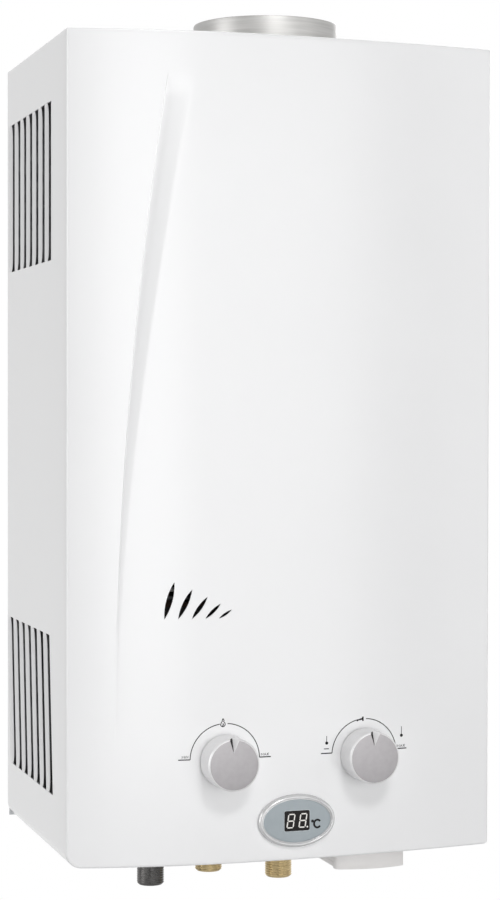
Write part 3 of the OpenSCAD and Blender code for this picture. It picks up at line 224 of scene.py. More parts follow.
WINDOW = Finish("window_black", (0.012, 0.01, 0.01), (0.006, 0.005, 0.005), Grain.MOULDED, 100, 3000,
                rough=(0.14, 0.2), relief=0.02, shine=0.14)
# Black ink for the printed marks; on the knobs it also paints shade on one facet of the pointer notch.
INK_AND_NOTCH_SHADE = Finish("window_black", (0.02, 0.018, 0.02), (0.01, 0.009, 0.01), Grain.MOULDED, 700, 4000,
             rough=(0.55, 0.65), shine=0.1, label="dial_ink_and_notch_shade")
BOARD = Finish("board_green", (0.06, 0.2, 0.1), (0.04, 0.15, 0.07), Grain.MOULDED, 200, 1600)
LEAD_WHITE = Finish("lead_white", (0.8, 0.79, 0.77), (0.72, 0.71, 0.69), Grain.MOULDED, 90, 1800,
                    rough=(0.4, 0.5), relief=0.08)
LEAD_DARK = Finish("lead_dark", (0.05, 0.05, 0.055), (0.03, 0.03, 0.035), Grain.MOULDED, 90, 1800,
                   rough=(0.45, 0.55), relief=0.08)
# The digit segments carry a painted glow: a little emission, though they are no lamp.
SEGMENT = Finish("lead_white", (0.86, 0.84, 0.8), (0.774, 0.756, 0.72), Grain.MOULDED, 900, 3000,
                 rough=(0.4, 0.5), relief=0.05, painted_glow=0.12, label="digit_segments")
PALE_EDGE = Finish("bezel_grey", (0.56, 0.6, 0.62), (0.52, 0.56, 0.58), Grain.MOULDED, 300, 2600,
                   rough=(0.25, 0.32), relief=0.04, label="window_edge")
FLOOR = Finish("white_enamel", (0.83, 0.83, 0.835), (0.81, 0.81, 0.815), Grain.CAST, 3, 300,
               rough=(0.6, 0.7), relief=0.03, label="studio_floor")

NODE_FINISHES = (ENAMEL, ZINC, PLATED, BURNER, COPPER, BRASS, CAST_BRASS, CAST_ALU, DARK_STEEL, CERAMIC,
                 RUBBER, BLACK, SILVER, WARM, CELL, BEZEL, PANEL, WINDOW, BOARD, LEAD_WHITE, LEAD_DARK)
# Nodes inside the casing that take the near-black copies as painted shade.
PAINTED_SHADE_NODES = {"heat_body": COPPER_PAINTED_SHADE, "jacket_coil": COPPER_PAINTED_SHADE, "burner_tray": STEEL_PAINTED_SHADE,
               "electrode_bracket": STEEL_PAINTED_SHADE}


def spread(start: float, end: float, steps: int) -> list[float]:
    """Evenly spaced values from start to end, both ends included."""
    return [start + (end - start) * i / steps for i in range(steps + 1)]


def arc(centre: Flat, radius: float, start: float, end: float, steps: int) -> list[Flat]:
    """Points of an arc between two angles in degrees, both ends included."""
    return [(centre[0] + radius * cos(radians(a)), centre[1] + radius * sin(radians(a)))
            for a in spread(start, end, steps)]


def oval(centre: Flat, half: Flat, steps: int) -> list[Flat]:
    """Points of a closed oval, from its half width and half height."""
    return [(centre[0] + half[0] * cos(t), centre[1] + half[1] * sin(t))
            for t in spread(0, tau, steps)[:-1]]


def baked(piece: Piece) -> Piece:
    """Turns a piece with modifiers into a plain mesh.

    Args:
        piece: Piece whose modifiers are applied.

    Returns:
        The same piece.
    """
    bpy.context.view_layer.update()
    graph = bpy.context.evaluated_depsgraph_get()
    mesh = bpy.data.meshes.new_from_object(piece.evaluated_get(graph))
    old = piece.data
    piece.modifiers.clear()
    piece.data = mesh
    bpy.data.meshes.remove(old)
    return piece


def cut(piece: Piece, cutter: Piece) -> Piece:
    """Cuts one piece out of another and removes the cutter.

    Args:
        piece: Piece that is cut.
        cutter: Closed piece that is taken away.

    Returns:
        The cut piece.
    """
    step = piece.modifiers.new("cut", "BOOLEAN")
    step.operation = "DIFFERENCE"
    step.solver = "EXACT"
    step.object = cutter
    baked(piece)
    bpy.data.objects.remove(cutter)
    return piece


def thicken(piece: Piece, thickness: float) -> Piece:
    """Gives a skin an even thickness on its inner side.

    Args:
        piece: Open skin.
        thickness: Thickness in millimetres.

    Returns:
        The closed sheet.
    """
    step = piece.modifiers.new("sheet", "SOLIDIFY")
    step.thickness = thickness * MM
    step.offset = -1.0
    step.use_even_offset = True
    # The inner faces go to the next slot, which the cover fills with painted shade.
    step.material_offset = 1
    return baked(piece)


def shade(piece: Piece, sharp: float = 32.0) -> Piece:
    """Shades a piece smooth, with edges above an angle kept crisp.

    Args:
        piece: Mesh piece.
        sharp: Angle in degrees.

    Returns:
        The same piece.
    """
    piece.data.shade_smooth()
    piece.data.set_sharp_from_angle(angle=radians(sharp))
    return piece


def dress(piece: Piece, finish: Finish, body: Body, *nodes: str,
          extra: Sequence[Finish] = ()) -> Piece:
    """Gives a piece its finish, its body and the nodes that it stands for.

    Args:
        piece: Mesh piece.
        finish: Finish of the piece.
        body: Body that it rides on.
        nodes: Nodes of the frame that it replaces.
        extra: Further finishes, for the faces that are marked with their place in the row.

    Returns:
        The same piece.
    """
    marked = [face.material_index for face in piece.data.polygons]
    piece.data.materials.clear()
    piece.data.materials.append(finish.material())
    for further in extra:
        piece.data.materials.append(further.material())
    if extra:
        piece.data.polygons.foreach_set("material_index", marked)
    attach(piece, body.value)
    if nodes:
        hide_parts(*nodes)
    log.info("%s: %d faces, rides on %s", piece.name, len(piece.data.polygons), body.value)
    return piece


class MeshMaker:
    """Gathers points and faces in millimetres and turns them into one mesh piece."""

    def __init__(self) -> None:
        """Starts empty."""
        self.points: list[Point] = []
        self.faces: list[tuple[int, ...]] = []

    def grid(self, rows: Rows, wrap: bool = False, loop: bool = False) -> "MeshMaker":
        """Adds a grid of quads.

        Args:
            rows: Rows of points of equal length.
            wrap: Whether the last column joins the first.
            loop: Whether the last row joins the first.

        Returns:
            This maker.
        """
        first, width, height = len(self.points), len(rows[0]), len(rows)
        for row in rows:
            self.points.extend(row)
        for i in range(height if loop else height - 1):
            for j in range(width if wrap else width - 1):
                a, b = first + i * width, first + (i + 1) % height * width
                k = (j + 1) % width
                self.faces.append((a + j, a + k, b + k, b + j))
        return self

    def cap(self, ring: Sequence[Point]) -> None:
        """Adds one face over a ring of points."""
        self.faces.append(tuple(range(len(self.points), len(self.points) + len(ring))))
        self.points.extend(ring)

    def tube(self, rings: Rows) -> "MeshMaker":
        """Adds a closed tube through rings of points, with a cap at each end.

        Args:
            rings: Rings of points of equal length.

        Returns:
            This maker.
        """
        self.grid(rings, wrap=True)
        self.cap(rings[0][::-1])
        self.cap(rings[-1])
        return self

    def slab(self, outline: Line, skin: Skin, low: float, high: float) -> "MeshMaker":
        """Adds a thin plate with an outline on a curved face, between two lifts."""
        return self.tube([[skin(a, b, lift) for a, b in outline] for lift in (low, high)])

    def ribbon(self, path: Line, width: float, skin: Skin, low: float, high: float) -> None:
        """Adds a raised line along a path on a curved face.

        Args:
            path: Points of the middle line.
            width: Width of the line.
            skin: Maps the two directions and a lift to a point.
            low: Lift of the underside.
            high: Lift of the upper side.
        """
        rings = []
        for i, (a, b) in enumerate(path):
            before, after = path[max(i - 1, 0)], path[min(i + 1, len(path) - 1)]
            run = Vector((after[0] - before[0], after[1] - before[1])).normalized()
            da, db = -run.y * width / 2, run.x * width / 2
            rings.append([skin(a + da, b + db, low), skin(a - da, b - db, low),
                          skin(a - da, b - db, high), skin(a + da, b + db, high)])
        self.tube(rings)

    def turned(self, profile: Line, skin: Skin, steps: int = 96) -> "MeshMaker":
        """Adds a turned form from the radius and height of each point round its section."""
        rows = [[skin(a, b, h) for a, b in oval((0, 0), (r, r), steps)] for r, h in profile]
        return self.grid(rows, wrap=True, loop=True)

    def piece(self, name: str, sharp: float = 32.0, outward: bool = True) -> Piece:
        """Makes the mesh piece.

        Args:
            name: Name of the piece.
            sharp: Angle above which edges stay crisp, in degrees.
            outward: Whether faces are turned outward.

        Returns:
            The new piece, linked to the scene.
        """
        mesh = bpy.data.meshes.new(name)
        mesh.from_pydata([(x * MM, y * MM, z * MM) for x, y, z in self.points], [], self.faces)
        work = bmesh.new()
        work.from_mesh(mesh)
        bmesh.ops.remove_doubles(work, verts=work.verts, dist=1e-6)
        bmesh.ops.dissolve_degenerate(work, edges=work.edges, dist=1e-7)
        if outward:
            bmesh.ops.recalc_face_normals(work, faces=work.faces)
        work.to_mesh(mesh)
        work.free()
        made = bpy.data.objects.new(name, mesh)
        bpy.context.scene.collection.objects.link(made)
        return shade(made, sharp)


@dataclass(frozen=True)
class FrontFace:
    """The bowed front of the casing: two arcs that meet at the crown."""

    half_w: float = 157.5
    bottom: float = -290.0
    top: float = 290.0
    crown_x: float = -32.5
    crown_y: float = -231.0
    left_r: float = 496.28125
    right_r: float = 1136.125

    def radius(self, x: float) -> float:
        """Radius of the front at a sideways place."""
        return self.left_r if x < self.crown_x else self.right_r

    def y(self, x: float, inset: float = 0.0) -> float:
        """Depth of the front at a sideways place, set in by an even amount."""
        r = self.radius(x)
        return self.crown_y + r - sqrt((r - inset) ** 2 - (x - self.crown_x) ** 2)

    def tilt(self, x: float) -> float:
        """Turn of the front about the vertical at a sideways place, in radians."""
        return asin((x - self.crown_x) / self.radius(x))

    def skin(self, x: float, z: float, lift: float) -> Point:
        """Point at a lift in front of the face."""
        return x, self.y(x) - lift, z

    def corner(self, side: int, edge: float, inset: float, fillet: float) -> tuple[Flat, float]:
        """Fillet between a side and the front.

        Args:
            side: -1 for the left corner and 1 for the right one.
            edge: Sideways place of the side's outer face.
            inset: How far the front is set in.
            fillet: Radius of the fillet.

        Returns:
            Centre of the fillet in plan, and the angle of the front's normal there in radians.
        """
        x = edge - side * fillet
        y = self.y(x, inset + fillet)
        return (x, y), atan2(y - self.crown_y - self.radius(x), x - self.crown_x)


FACE = FrontFace()


@dataclass(frozen=True)
class CrescentFold:
    """Crescent pressed into the front: a crisp left line, and a facet that rises to a soft right line."""

    foot_x: float = -124.5
    foot_z: float = -205.0
    length: float = 467.0
    left_r: float = 3000.0
    right_r: float = 2000.0
    slope: float = 12.0
    fade_out: float = 18.0
    ease: float = 0.5
    soft: float = 0.3

    def turn(self) -> float:
        """Turn of the fold's chord about the vertical, in radians."""
        end = self.foot_x + self.length ** 2 / (2 * self.right_r)
        return atan((FACE.y(end) - FACE.y(self.foot_x)) / (end - self.foot_x))

    def bare(self, u: float, inset: float) -> float:
        """Depth of the unpressed front behind the fold's chord.

        Args:
            u: Place along the chord.
            inset: How far the front is set in.

        Returns:
            Depth square to the chord.
        """
        t, v = self.turn(), 0.0
        for _ in range(4):
            x = self.foot_x + u * cos(t) - v * sin(t)
            v = (FACE.y(x, inset) - FACE.y(self.foot_x) - u * sin(t)) / cos(t)
        return v

    def row(self, z: float, inset: float) -> list[Flat]:
        """Plan points across the fold at one height.

        Args:
            z: Height of the row.
            inset: How far the front is set in there.

        Returns:
            Points from left of the crisp line to right of the soft one.
        """
        w = min(max(z - self.foot_z, 0.0), self.length)
        pressed = 0.0 < z - self.foot_z < self.length
        left = self.left_r - sqrt(self.left_r ** 2 - w * w)
        right = self.right_r - sqrt(self.right_r ** 2 - w * w)
        t = self.turn()
        rest = min((self.length - w) / self.fade_out, 1.0)
        fade = rest * rest * (3 - 2 * rest) * min(1.0, w / 6.0) * (1 - self.ease * (w / self.length) ** 3)
        places = [left - 7, left - 3, left - 1.2, left - 0.35, left + 0.15, left + 0.7]
        places += [left + 0.7 + (right + 9 - left - 0.7) * k for k in spread(0, 1, 18)[1:]]
        points = []
        for i, u in enumerate(places):
            v = self.bare(u, inset)
            if pressed and i > 3:
                facet = tan(radians(self.slope)) * (hypot(self.right_r - u, w) - self.right_r)
                gap = facet - v
                v += fade * (gap + sqrt(gap * gap + self.soft ** 2)) / 2
            points.append((self.foot_x + u * cos(t) - v * sin(t),
                           FACE.y(self.foot_x) + u * sin(t) + v * cos(t)))
        return points


@dataclass
class Cover:
    """The pressed and enamelled cover with its fold, louvres, sight slots and openings."""

    back: float = -1.3
    sheet: float = 1.0
    rim: float = 13.0
    corner_r: float = 2.2
    left_edge_r: float = 10.0
    right_edge_r: float = 3.0
    low_edge_r: float = 1.4
    top_edge_r: float = 1.1
    louvre_first: float = -21.4
    louvre_pitch: float = 22.4
    louvre_count: int = 7
    louvre_z: float = 190.0
    louvre_w: float = 16.0
    louvre_h: float = 113.0
    louvre_lean: float = 6.0
    blade_step: float = 0.88
    blade_turns: tuple[float, ...] = (8, 10, 12, 13, 14, 15, 16, 18)
    slot_x: float = -91.0
    slot_z: float = -118.0
    slot_pitch: float = 9.6
    slot_count: int = 5
    slot_length: float = 27.0
    slot_less: float = 3.9
    slot_lean: float = 15.0
    slot_fan: float = 10.5
    slot_width: float = 0.165
    side_cut: float = 3.0
    front_cut: float = 6.0
    spindle_r: float = 6.0
    screw_r: float = 2.1
    display_hole: Flat = (27.85, 17.85)
    fold: CrescentFold = field(default_factory=CrescentFold)

    def rows(self) -> list[tuple[float, float, float, float]]:
        """Heights of the skin's rows.

        Returns:
            Height, and how far the front, the left side and the right side are set in.
        """
        def inset(r: float, s: float) -> float:
            """Set-in of an edge of one radius at a height above its foot."""
            return r - sqrt(max(r * r - (r - s) ** 2, 0.0)) if s < r else 0.0

        rows = [(FACE.bottom, self.rim, self.rim, self.rim)]
        for s in (0.0, 0.03, 0.12, 0.3, 0.6, 1.0, 1.5, 2.2, 3.1, 4.4, 6.0, 8.0, 10.0):
            rows.append((FACE.bottom + s, inset(self.low_edge_r, s), inset(self.left_edge_r, s),
                         inset(self.right_edge_r, s)))
        heights = spread(-272, -206, 6) + spread(-204.5, 240, 84) + spread(243, 264, 12) + spread(270, 287, 3)
        rows += [(z, 0.0, 0.0, 0.0) for z in heights]
        for s in (1.1, 0.7, 0.35, 0.12, 0.03, 0.0):
            rows.append((FACE.top - s,) + (inset(self.top_edge_r, s),) * 3)
        rows.append((FACE.top, self.rim, self.rim, self.rim))
        return rows

    def plan(self, z: float, front: float, left: float, right: float) -> list[Point]:
        """One row of the skin, from the back of the left side round to the back of the right side.

        Args:
            z: Height of the row.
            front: How far the front is set in.
            left: How far the left side is set in.
            right: How far the right side is set in.

        Returns:
            Points of the row.
        """
        left_x, right_x = -FACE.half_w + left, FACE.half_w - right
        r = self.corner_r if max(front, left, right) < 11 else 0.6
        (lx, ly), la = FACE.corner(-1, left_x, front, r)
        (rx, ry), ra = FACE.corner(1, right_x, front, r)
        points = [(left_x, y) for y in spread(self.back, ly, 12)[:-1]]
        points += [(lx + r * cos(a), ly + r * sin(a)) for a in spread(-pi, la, 8)]
        across = self.fold.row(z, front)
        points += [(x, FACE.y(x, front)) for x in spread(points[-1][0], across[0][0], 8)[1:-1]]
        points += across
        end = rx + r * cos(ra)
        points += [(x, FACE.y(x, front)) for x in spread(across[-1][0], end, 40)[1:-1]]
        points += [(rx + r * cos(a), ry + r * sin(a)) for a in spread(ra, 0, 8)]
        points += [(right_x, y) for y in spread(ry, self.back, 12)[1:]]
        return [(x, y, z) for x, y in points]

    def skin(self) -> Piece:
        """Sheet of the cover before its openings are cut.

        Returns:
            The sheet, with its inner faces marked for a near-black finish that paints shade inside the
            casing.
        """
        cover = MeshMaker().grid([self.plan(*row) for row in self.rows()]).piece("cover", outward=False)
        # Second slot: the near-black painted shade of the inner faces.
        for finish in (ENAMEL, INNER_PAINTED_SHADE):
            cover.data.materials.append(finish.material())
        return thicken(cover, self.sheet)

    def louvre_place(self, side: int, group: int, index: int) -> Skin:
        """Frame of one louvre.

        Args:
            side: -1 for the left side and 1 for the right one.
            group: -1 for the lower group and 1 for the upper one.
            index: Number of the louvre, counted from the back.

        Returns:
            Maps a place forward or back, a place up, and a depth into the casing to a point.
        """
        lean = tan(radians(self.louvre_lean)) if group < 0 else 0.0
        middle = self.louvre_first - index * self.louvre_pitch

        def place(y: float, z: float, depth: float) -> Point:
            """Point of this louvre's frame."""
            return side * (FACE.half_w - depth), middle + y + z * lean, group * self.louvre_z + z

        return place

    def openings(self) -> Piece:
        """Cutter of all the openings.

        Returns:
            Closed pieces as one mesh.
        """
        maker = MeshMaker()
        h, w = self.louvre_h / 2, self.louvre_w / 2
        rear, front = self.louvre_pitch - w, -w - (self.louvre_count - 1) * self.louvre_pitch
        for side, group in product((-1, 1), repeat=2):
            maker.slab([(rear, -h), (rear, h), (front, h), (front, -h)],
                       self.louvre_place(side, group, 0), -self.side_cut, self.side_cut)
        fronts = self.leaves()
        fronts += [arc((x, KNOB_Z), self.spindle_r, 0, 352.5, 47) for x in (GAS_X, WATER_X)]
        fronts.append(oval((DISPLAY_X, DISPLAY_Z), self.display_hole, 96))
        for outline in fronts:
            maker.slab(outline, FACE.skin, -self.front_cut, self.front_cut)
        for x in SCREW_X:
            maker.slab(arc((x, FACE.y(x) + SCREW_INSET), self.screw_r, 0, 345, 23),
                       lambda a, b, lift: (a, b, FACE.bottom + lift), -2.0, 3.0)
        return maker.piece("openings")

    def leaves(self) -> list[list[Flat]]:
        """Outlines of the leaf-shaped sight slots.

        Returns:
            One outline for each slot, from the tallest to the shortest.
        """
        leaves = []
        for i in range(self.slot_count):
            length = self.slot_length - self.slot_less * i
            lean = radians(self.slot_lean + self.slot_fan * i)
            half = self.slot_width * length / 2
            r = (length ** 2 / 4 + half ** 2) / (2 * half)
            reach = degrees(asin(length / 2 / r))
            rim = arc((half - r, 0), r, -reach, reach, 12)
            rim += [(-x, z) for x, z in reversed(rim[1:-1])]
            foot = self.slot_x + self.slot_pitch * i
            leaves.append([(foot + x * cos(lean) + (z + length / 2) * sin(lean),
                            self.slot_z - x * sin(lean) + (z + length / 2) * cos(lean))
                           for x, z in rim])
        return leaves

    def lip(self) -> list[Flat]:
        """Section of a louvre's blade.

        Returns:
            Place from the rear edge toward the front, and depth, of each point.
        """
        run, depth, section = 0.0, 0.02, [(-0.35, 0.12), (0.0, 0.02)]
        for turn in self.blade_turns:
            run += self.blade_step * cos(radians(turn))
            depth += self.blade_step * sin(radians(turn))
            section.append((run, depth))
        return section

    def blades(self) -> Piece:
        """Louvre blades that turn in toward the front, thin to their edges and blend out at their ends.

        Returns:
            All blades as one mesh.
        """
        maker = MeshMaker()
        half = self.louvre_h / 2 + 0.6
        rear = self.louvre_pitch - self.louvre_w / 2
        section = self.lip()
        for side, group, index in product((-1, 1), (-1, 1), range(self.louvre_count)):
            place = self.louvre_place(side, group, index)
            rings = []
            for z in [half * sin(k) for k in spread(-pi / 2, pi / 2, 32)]:
                fade = max(1 - (abs(z) / half) ** 14, 0.0) ** 0.5
                outer = [(rear - run, (depth - 0.02) * fade + 0.02) for run, depth in section]
                inner = [(y + 0.1, depth + 0.8 * self.sheet * (1 - 0.85 * i / len(section)))
                         for i, (y, depth) in enumerate(outer)]
                rings.append([place(y, z, depth) for y, depth in outer + inner[::-1]])
            maker.tube(rings)
        blades = maker.piece("blades")
        blades.data.materials.append(ENAMEL.material())
        return blades

    def build(self) -> None:
        """Builds the cover and dresses it."""
        cover = cut(self.skin(), self.openings())
        blades = self.blades()
        with bpy.context.temp_override(active_object=cover, selected_editable_objects=[cover, blades]):
            bpy.ops.object.join()
        dress(shade(cover, 30), ENAMEL, Body.HEATER, "front_cover", extra=[INNER_PAINTED_SHADE])


@dataclass
class Knob:
    """A control knob with a slightly conical side, a bright chamfer, a flat face and a pointer notch."""

    name: str
    node: str
    body: Body
    x: float
    base: float
    z: float = KNOB_Z

    def skin(self, a: float, b: float, h: float) -> Point:
        """Point at a place across the knob and a height above its foot."""
        return self.x + a, self.base - h, self.z + b

    def profile(self) -> list[Flat]:
        """Section of the knob.

        Returns:
            Radius and height from the crown of the face round to the hollow back.
        """
        face = [(0.02, 21.5), (6, 21.4), (11, 21.12), (16.2, 20.66), (17.2, 20.52)]
        rim = [(17.45, 20.4), (18.2, 19.6), (18.4, 19.25)]
        side = [(18.42, 18.9), (18.48, 10.0), (18.55, 2.0), (18.6, 0.4), (18.4, 0.0)]
        hollow = [(16.4, 0.0), (16.2, 3.5), (7.0, 3.6), (7.0, 0.6), (4.3, 0.6), (4.3, 14.0), (0.02, 14.0)]
        return face + rim + side + hollow

    def notch(self) -> Piece:
        """Cutter of the pointer notch, a V that deepens toward the rim.

        Returns:
            Closed piece.
        """
        top, off, rings = 26.0, 0.6, []
        for r in (8.6, 20.0):
            low = 20.9 - 0.42 * (r - 9.4)
            rings.append([self.skin(-off, r, low), self.skin(1.5 * (top - low) - off, r, top),
                          self.skin(-0.9 * (top - low) - off, r, top)])
        return MeshMaker().tube(rings).piece("notch")

    def build(self) -> None:
        """Builds the knob and dresses it."""
        knob = cut(MeshMaker().turned(self.profile(), self.skin, 128).piece(self.name), self.notch())
        for face in knob.data.polygons:
            middle = Vector((face.center.x / MM - self.x, face.center.z / MM - self.z))
            # Notch faces that face right take the black ink: painted shade in the groove.
            shaded = face.normal.x > 0.6 and abs(middle.x) < 5 and middle.y > 8 and face.normal.y < -0.5
            face.material_index = 2 if shaded else int(face.normal.y < -0.97 and middle.length < 17.25)
        dress(shade(knob, 22), SILVER, self.body, self.node, extra=[SATIN, INK_AND_NOTCH_SHADE])


@dataclass
class Display:
    """The oval display: bezel, panel, digit window and marks."""

    x: float = DISPLAY_X
    z: float = DISPLAY_Z
    half_w: float = 28.75
    half_h: float = 18.75
    face_w: float = 25.35
    face_h: float = 15.35
    glass: Point = (9.5, 7.2, 1.3)
    glass_lifts: Flat = (1.2, 2.0)
    digit_lifts: Flat = (1.9, 2.05)
    mark_lifts: Flat = (1.7, 1.9)

    def skin(self, a: float, b: float, lift: float) -> Point:
        """Point at a place across the display, a place up it and a lift square to the front."""
        c, s = cos(FACE.tilt(self.x)), sin(FACE.tilt(self.x))
        return self.x + a * c + lift * s, FACE.y(self.x) + a * s - lift * c, self.z + b

    def ovals(self, name: str, sizes: Sequence[Point], finish: Finish, node: str) -> None:
        """Builds a ring or plate from the half width, half height and lift of its ovals, and dresses it."""
        rows = [[self.skin(a, b, lift) for a, b in oval((0, 0), (w, h), 144)] for w, h, lift in sizes]
        dress(MeshMaker().grid(rows, wrap=True, loop=True).piece(name, 40), finish, Body.HEATER, node)

    def bezel(self) -> None:
        """Raised bezel with a broad rounded slope and a fine inner lip."""
        profile = [(0.9, -2.4), (0.9, 0.3), (0.1, 0.42), (0.0, 0.6), (0.1, 1.3), (0.45, 2.2), (1.0, 2.95),
                   (1.6, 3.35), (2.1, 3.45), (2.5, 3.3), (2.75, 2.9), (2.85, 2.6), (2.95, 2.5), (3.15, 2.62),
                   (3.4, 2.62), (3.55, 2.4), (3.6, 1.2), (1.6, 1.1), (1.55, -2.4)]
        sizes = [(self.half_w - t, self.half_h - t, lift) for t, lift in profile]
        self.ovals("bezel", sizes, BEZEL, "display_bezel")

    def panel(self) -> None:
        """Blue-grey panel inside the bezel, a shallow crown with a thin step round its rim."""
        profile = [(25.3, 0.2), (25.3, 1.6), (25.0, 1.72), (23.5, 1.76), (14.0, 1.8), (0.02, 1.82),
                   (0.02, 0.2)]
        sizes = [(r, r * self.face_h / self.face_w, lift) for r, lift in profile]
        self.ovals("panel", sizes, PANEL, "display_face")

    def rounded(self, half_w: float, half_h: float, r: float) -> list[Flat]:
        """Outline of a rectangle with rounded corners.

        Args:
            half_w: Half the width.
            half_h: Half the height.
            r: Radius of the corners.

        Returns:
            Points counter-clockwise from the right.
        """
        outline: list[Flat] = []
        for i, (sx, sy) in enumerate(((1, 1), (-1, 1), (-1, -1), (1, -1))):
            outline += arc((sx * (half_w - r), sy * (half_h - r)), r, 90 * i, 90 * i + 90, 6)
        return outline

    def window(self) -> None:
        """Dark digit window with its pale edge."""
        pane = MeshMaker().slab(self.rounded(*self.glass), self.skin, *self.glass_lifts).piece("window")
        dress(pane, WINDOW, Body.HEATER, "display_window")
        rings = [[self.skin(a, b, h) for a, b in self.rounded(*(size + d for size in self.glass))]
                 for d, h in ((0.0, 1.7), (0.0, 2.02), (0.2, 2.05), (0.4, 1.95), (0.45, 1.7))]
        edge = MeshMaker().grid(rings, wrap=True, loop=True).piece("window_edge")
        dress(edge, PALE_EDGE, Body.HEATER)

    def digits(self) -> None:
        """Two slanted digits of seven segments each, and a point."""
        maker = MeshMaker()
        lean = tan(radians(9))
        for middle in (-4.6, 4.4):
            corners = {(i, j): (middle + (i - 0.5) * 4.6 + (j - 1) * 4.7 * lean, (j - 1) * 4.7)
                       for i in (0, 1) for j in (0, 1, 2)}
            for start, end in (((0, 0), (1, 0)), ((0, 1), (1, 1)), ((0, 2), (1, 2)), ((0, 0), (0, 1)),
                               ((0, 1), (0, 2)), ((1, 0), (1, 1)), ((1, 1), (1, 2))):
                a, b = Vector(corners[start]), Vector(corners[end])
                run = (b - a).normalized()
                side = Vector((-run.y, run.x)) * 0.4
                near, far = a + run * 0.6, b - run * 0.6
                outline = [a + run * 0.2, near - side, far - side, b - run * 0.2, far + side, near + side]
                maker.slab([(p.x, p.y) for p in outline], self.skin, *self.digit_lifts)
        maker.slab(arc((7.7, -4.6), 0.62, 0, 340, 17), self.skin, *self.digit_lifts)
        dress(maker.piece("digits"), SEGMENT, Body.HEATER)

    def marks(self) -> None:
        """Degree ring and unit letter beside the window."""
        maker = MeshMaker()
        maker.ribbon(arc((11.7, -0.9), 0.6, 0, 360, 24), 0.9, self.skin, *self.mark_lifts)
        letter = [(15.3 + 2.45 * x, -2.9 + 2.75 * z) for x, z in arc((0, 0), 1.0, 34, 326, 32)]
        maker.ribbon(letter, 1.4, self.skin, *self.mark_lifts)
        dress(maker.piece("unit_marks"), INK_AND_NOTCH_SHADE, Body.HEATER)

    def build(self) -> None:
        """Builds the display."""
        self.bezel()
        self.panel()
        self.window()
        self.digits()
        self.marks()


LETTERS = {"M": (1.3, [[(0, 0), (0, 1), (0.45, 0.35), (0.9, 1), (0.9, 0)]]),
           "I": (0.45, [[(0, 0), (0, 1)]]),
           "N": (1.15, [[(0, 0), (0, 1), (0.75, 0), (0.75, 1)]]),
           "A": (1.15, [[(0, 0), (0.4, 1), (0.8, 0)], [(0.2, 0.4), (0.6, 0.4)]]),
           "X": (1.1, [[(0, 0), (0.75, 1)], [(0, 1), (0.75, 0)]])}
FLAME = [(0.1, 3.6), (0.9, 2.1), (0.5, 1.4), (1.5, 0.4), (1.7, -1.0), (0.9, -2.0), (0.0, -2.2), (-1.0, -1.9),
         (-1.6, -0.9), (-1.2, 0.5), (-0.5, 1.5), (-0.4, 2.4), (0.1, 3.6)]
CURL = [(-0.2, -2.0), (0.3, -0.9), (0.1, 0.2)]
TAP = [(-3.4, -0.9), (-2.6, 0.3), (-0.6, 0.9), (1.0, 1.3), (1.0, 2.2), (2.2, 2.2), (2.2, -0.9), (1.0, -0.9),
       (1.0, 0.0), (-1.8, -0.4), (-2.4, -0.9)]


def moved(path: Line, x: float, z: float, size: float = 1.0) -> list[Flat]:
    """Path of a sign or letter, drawn in a size at its place."""
    return [(x + a * size, z + b * size) for a, b in path]


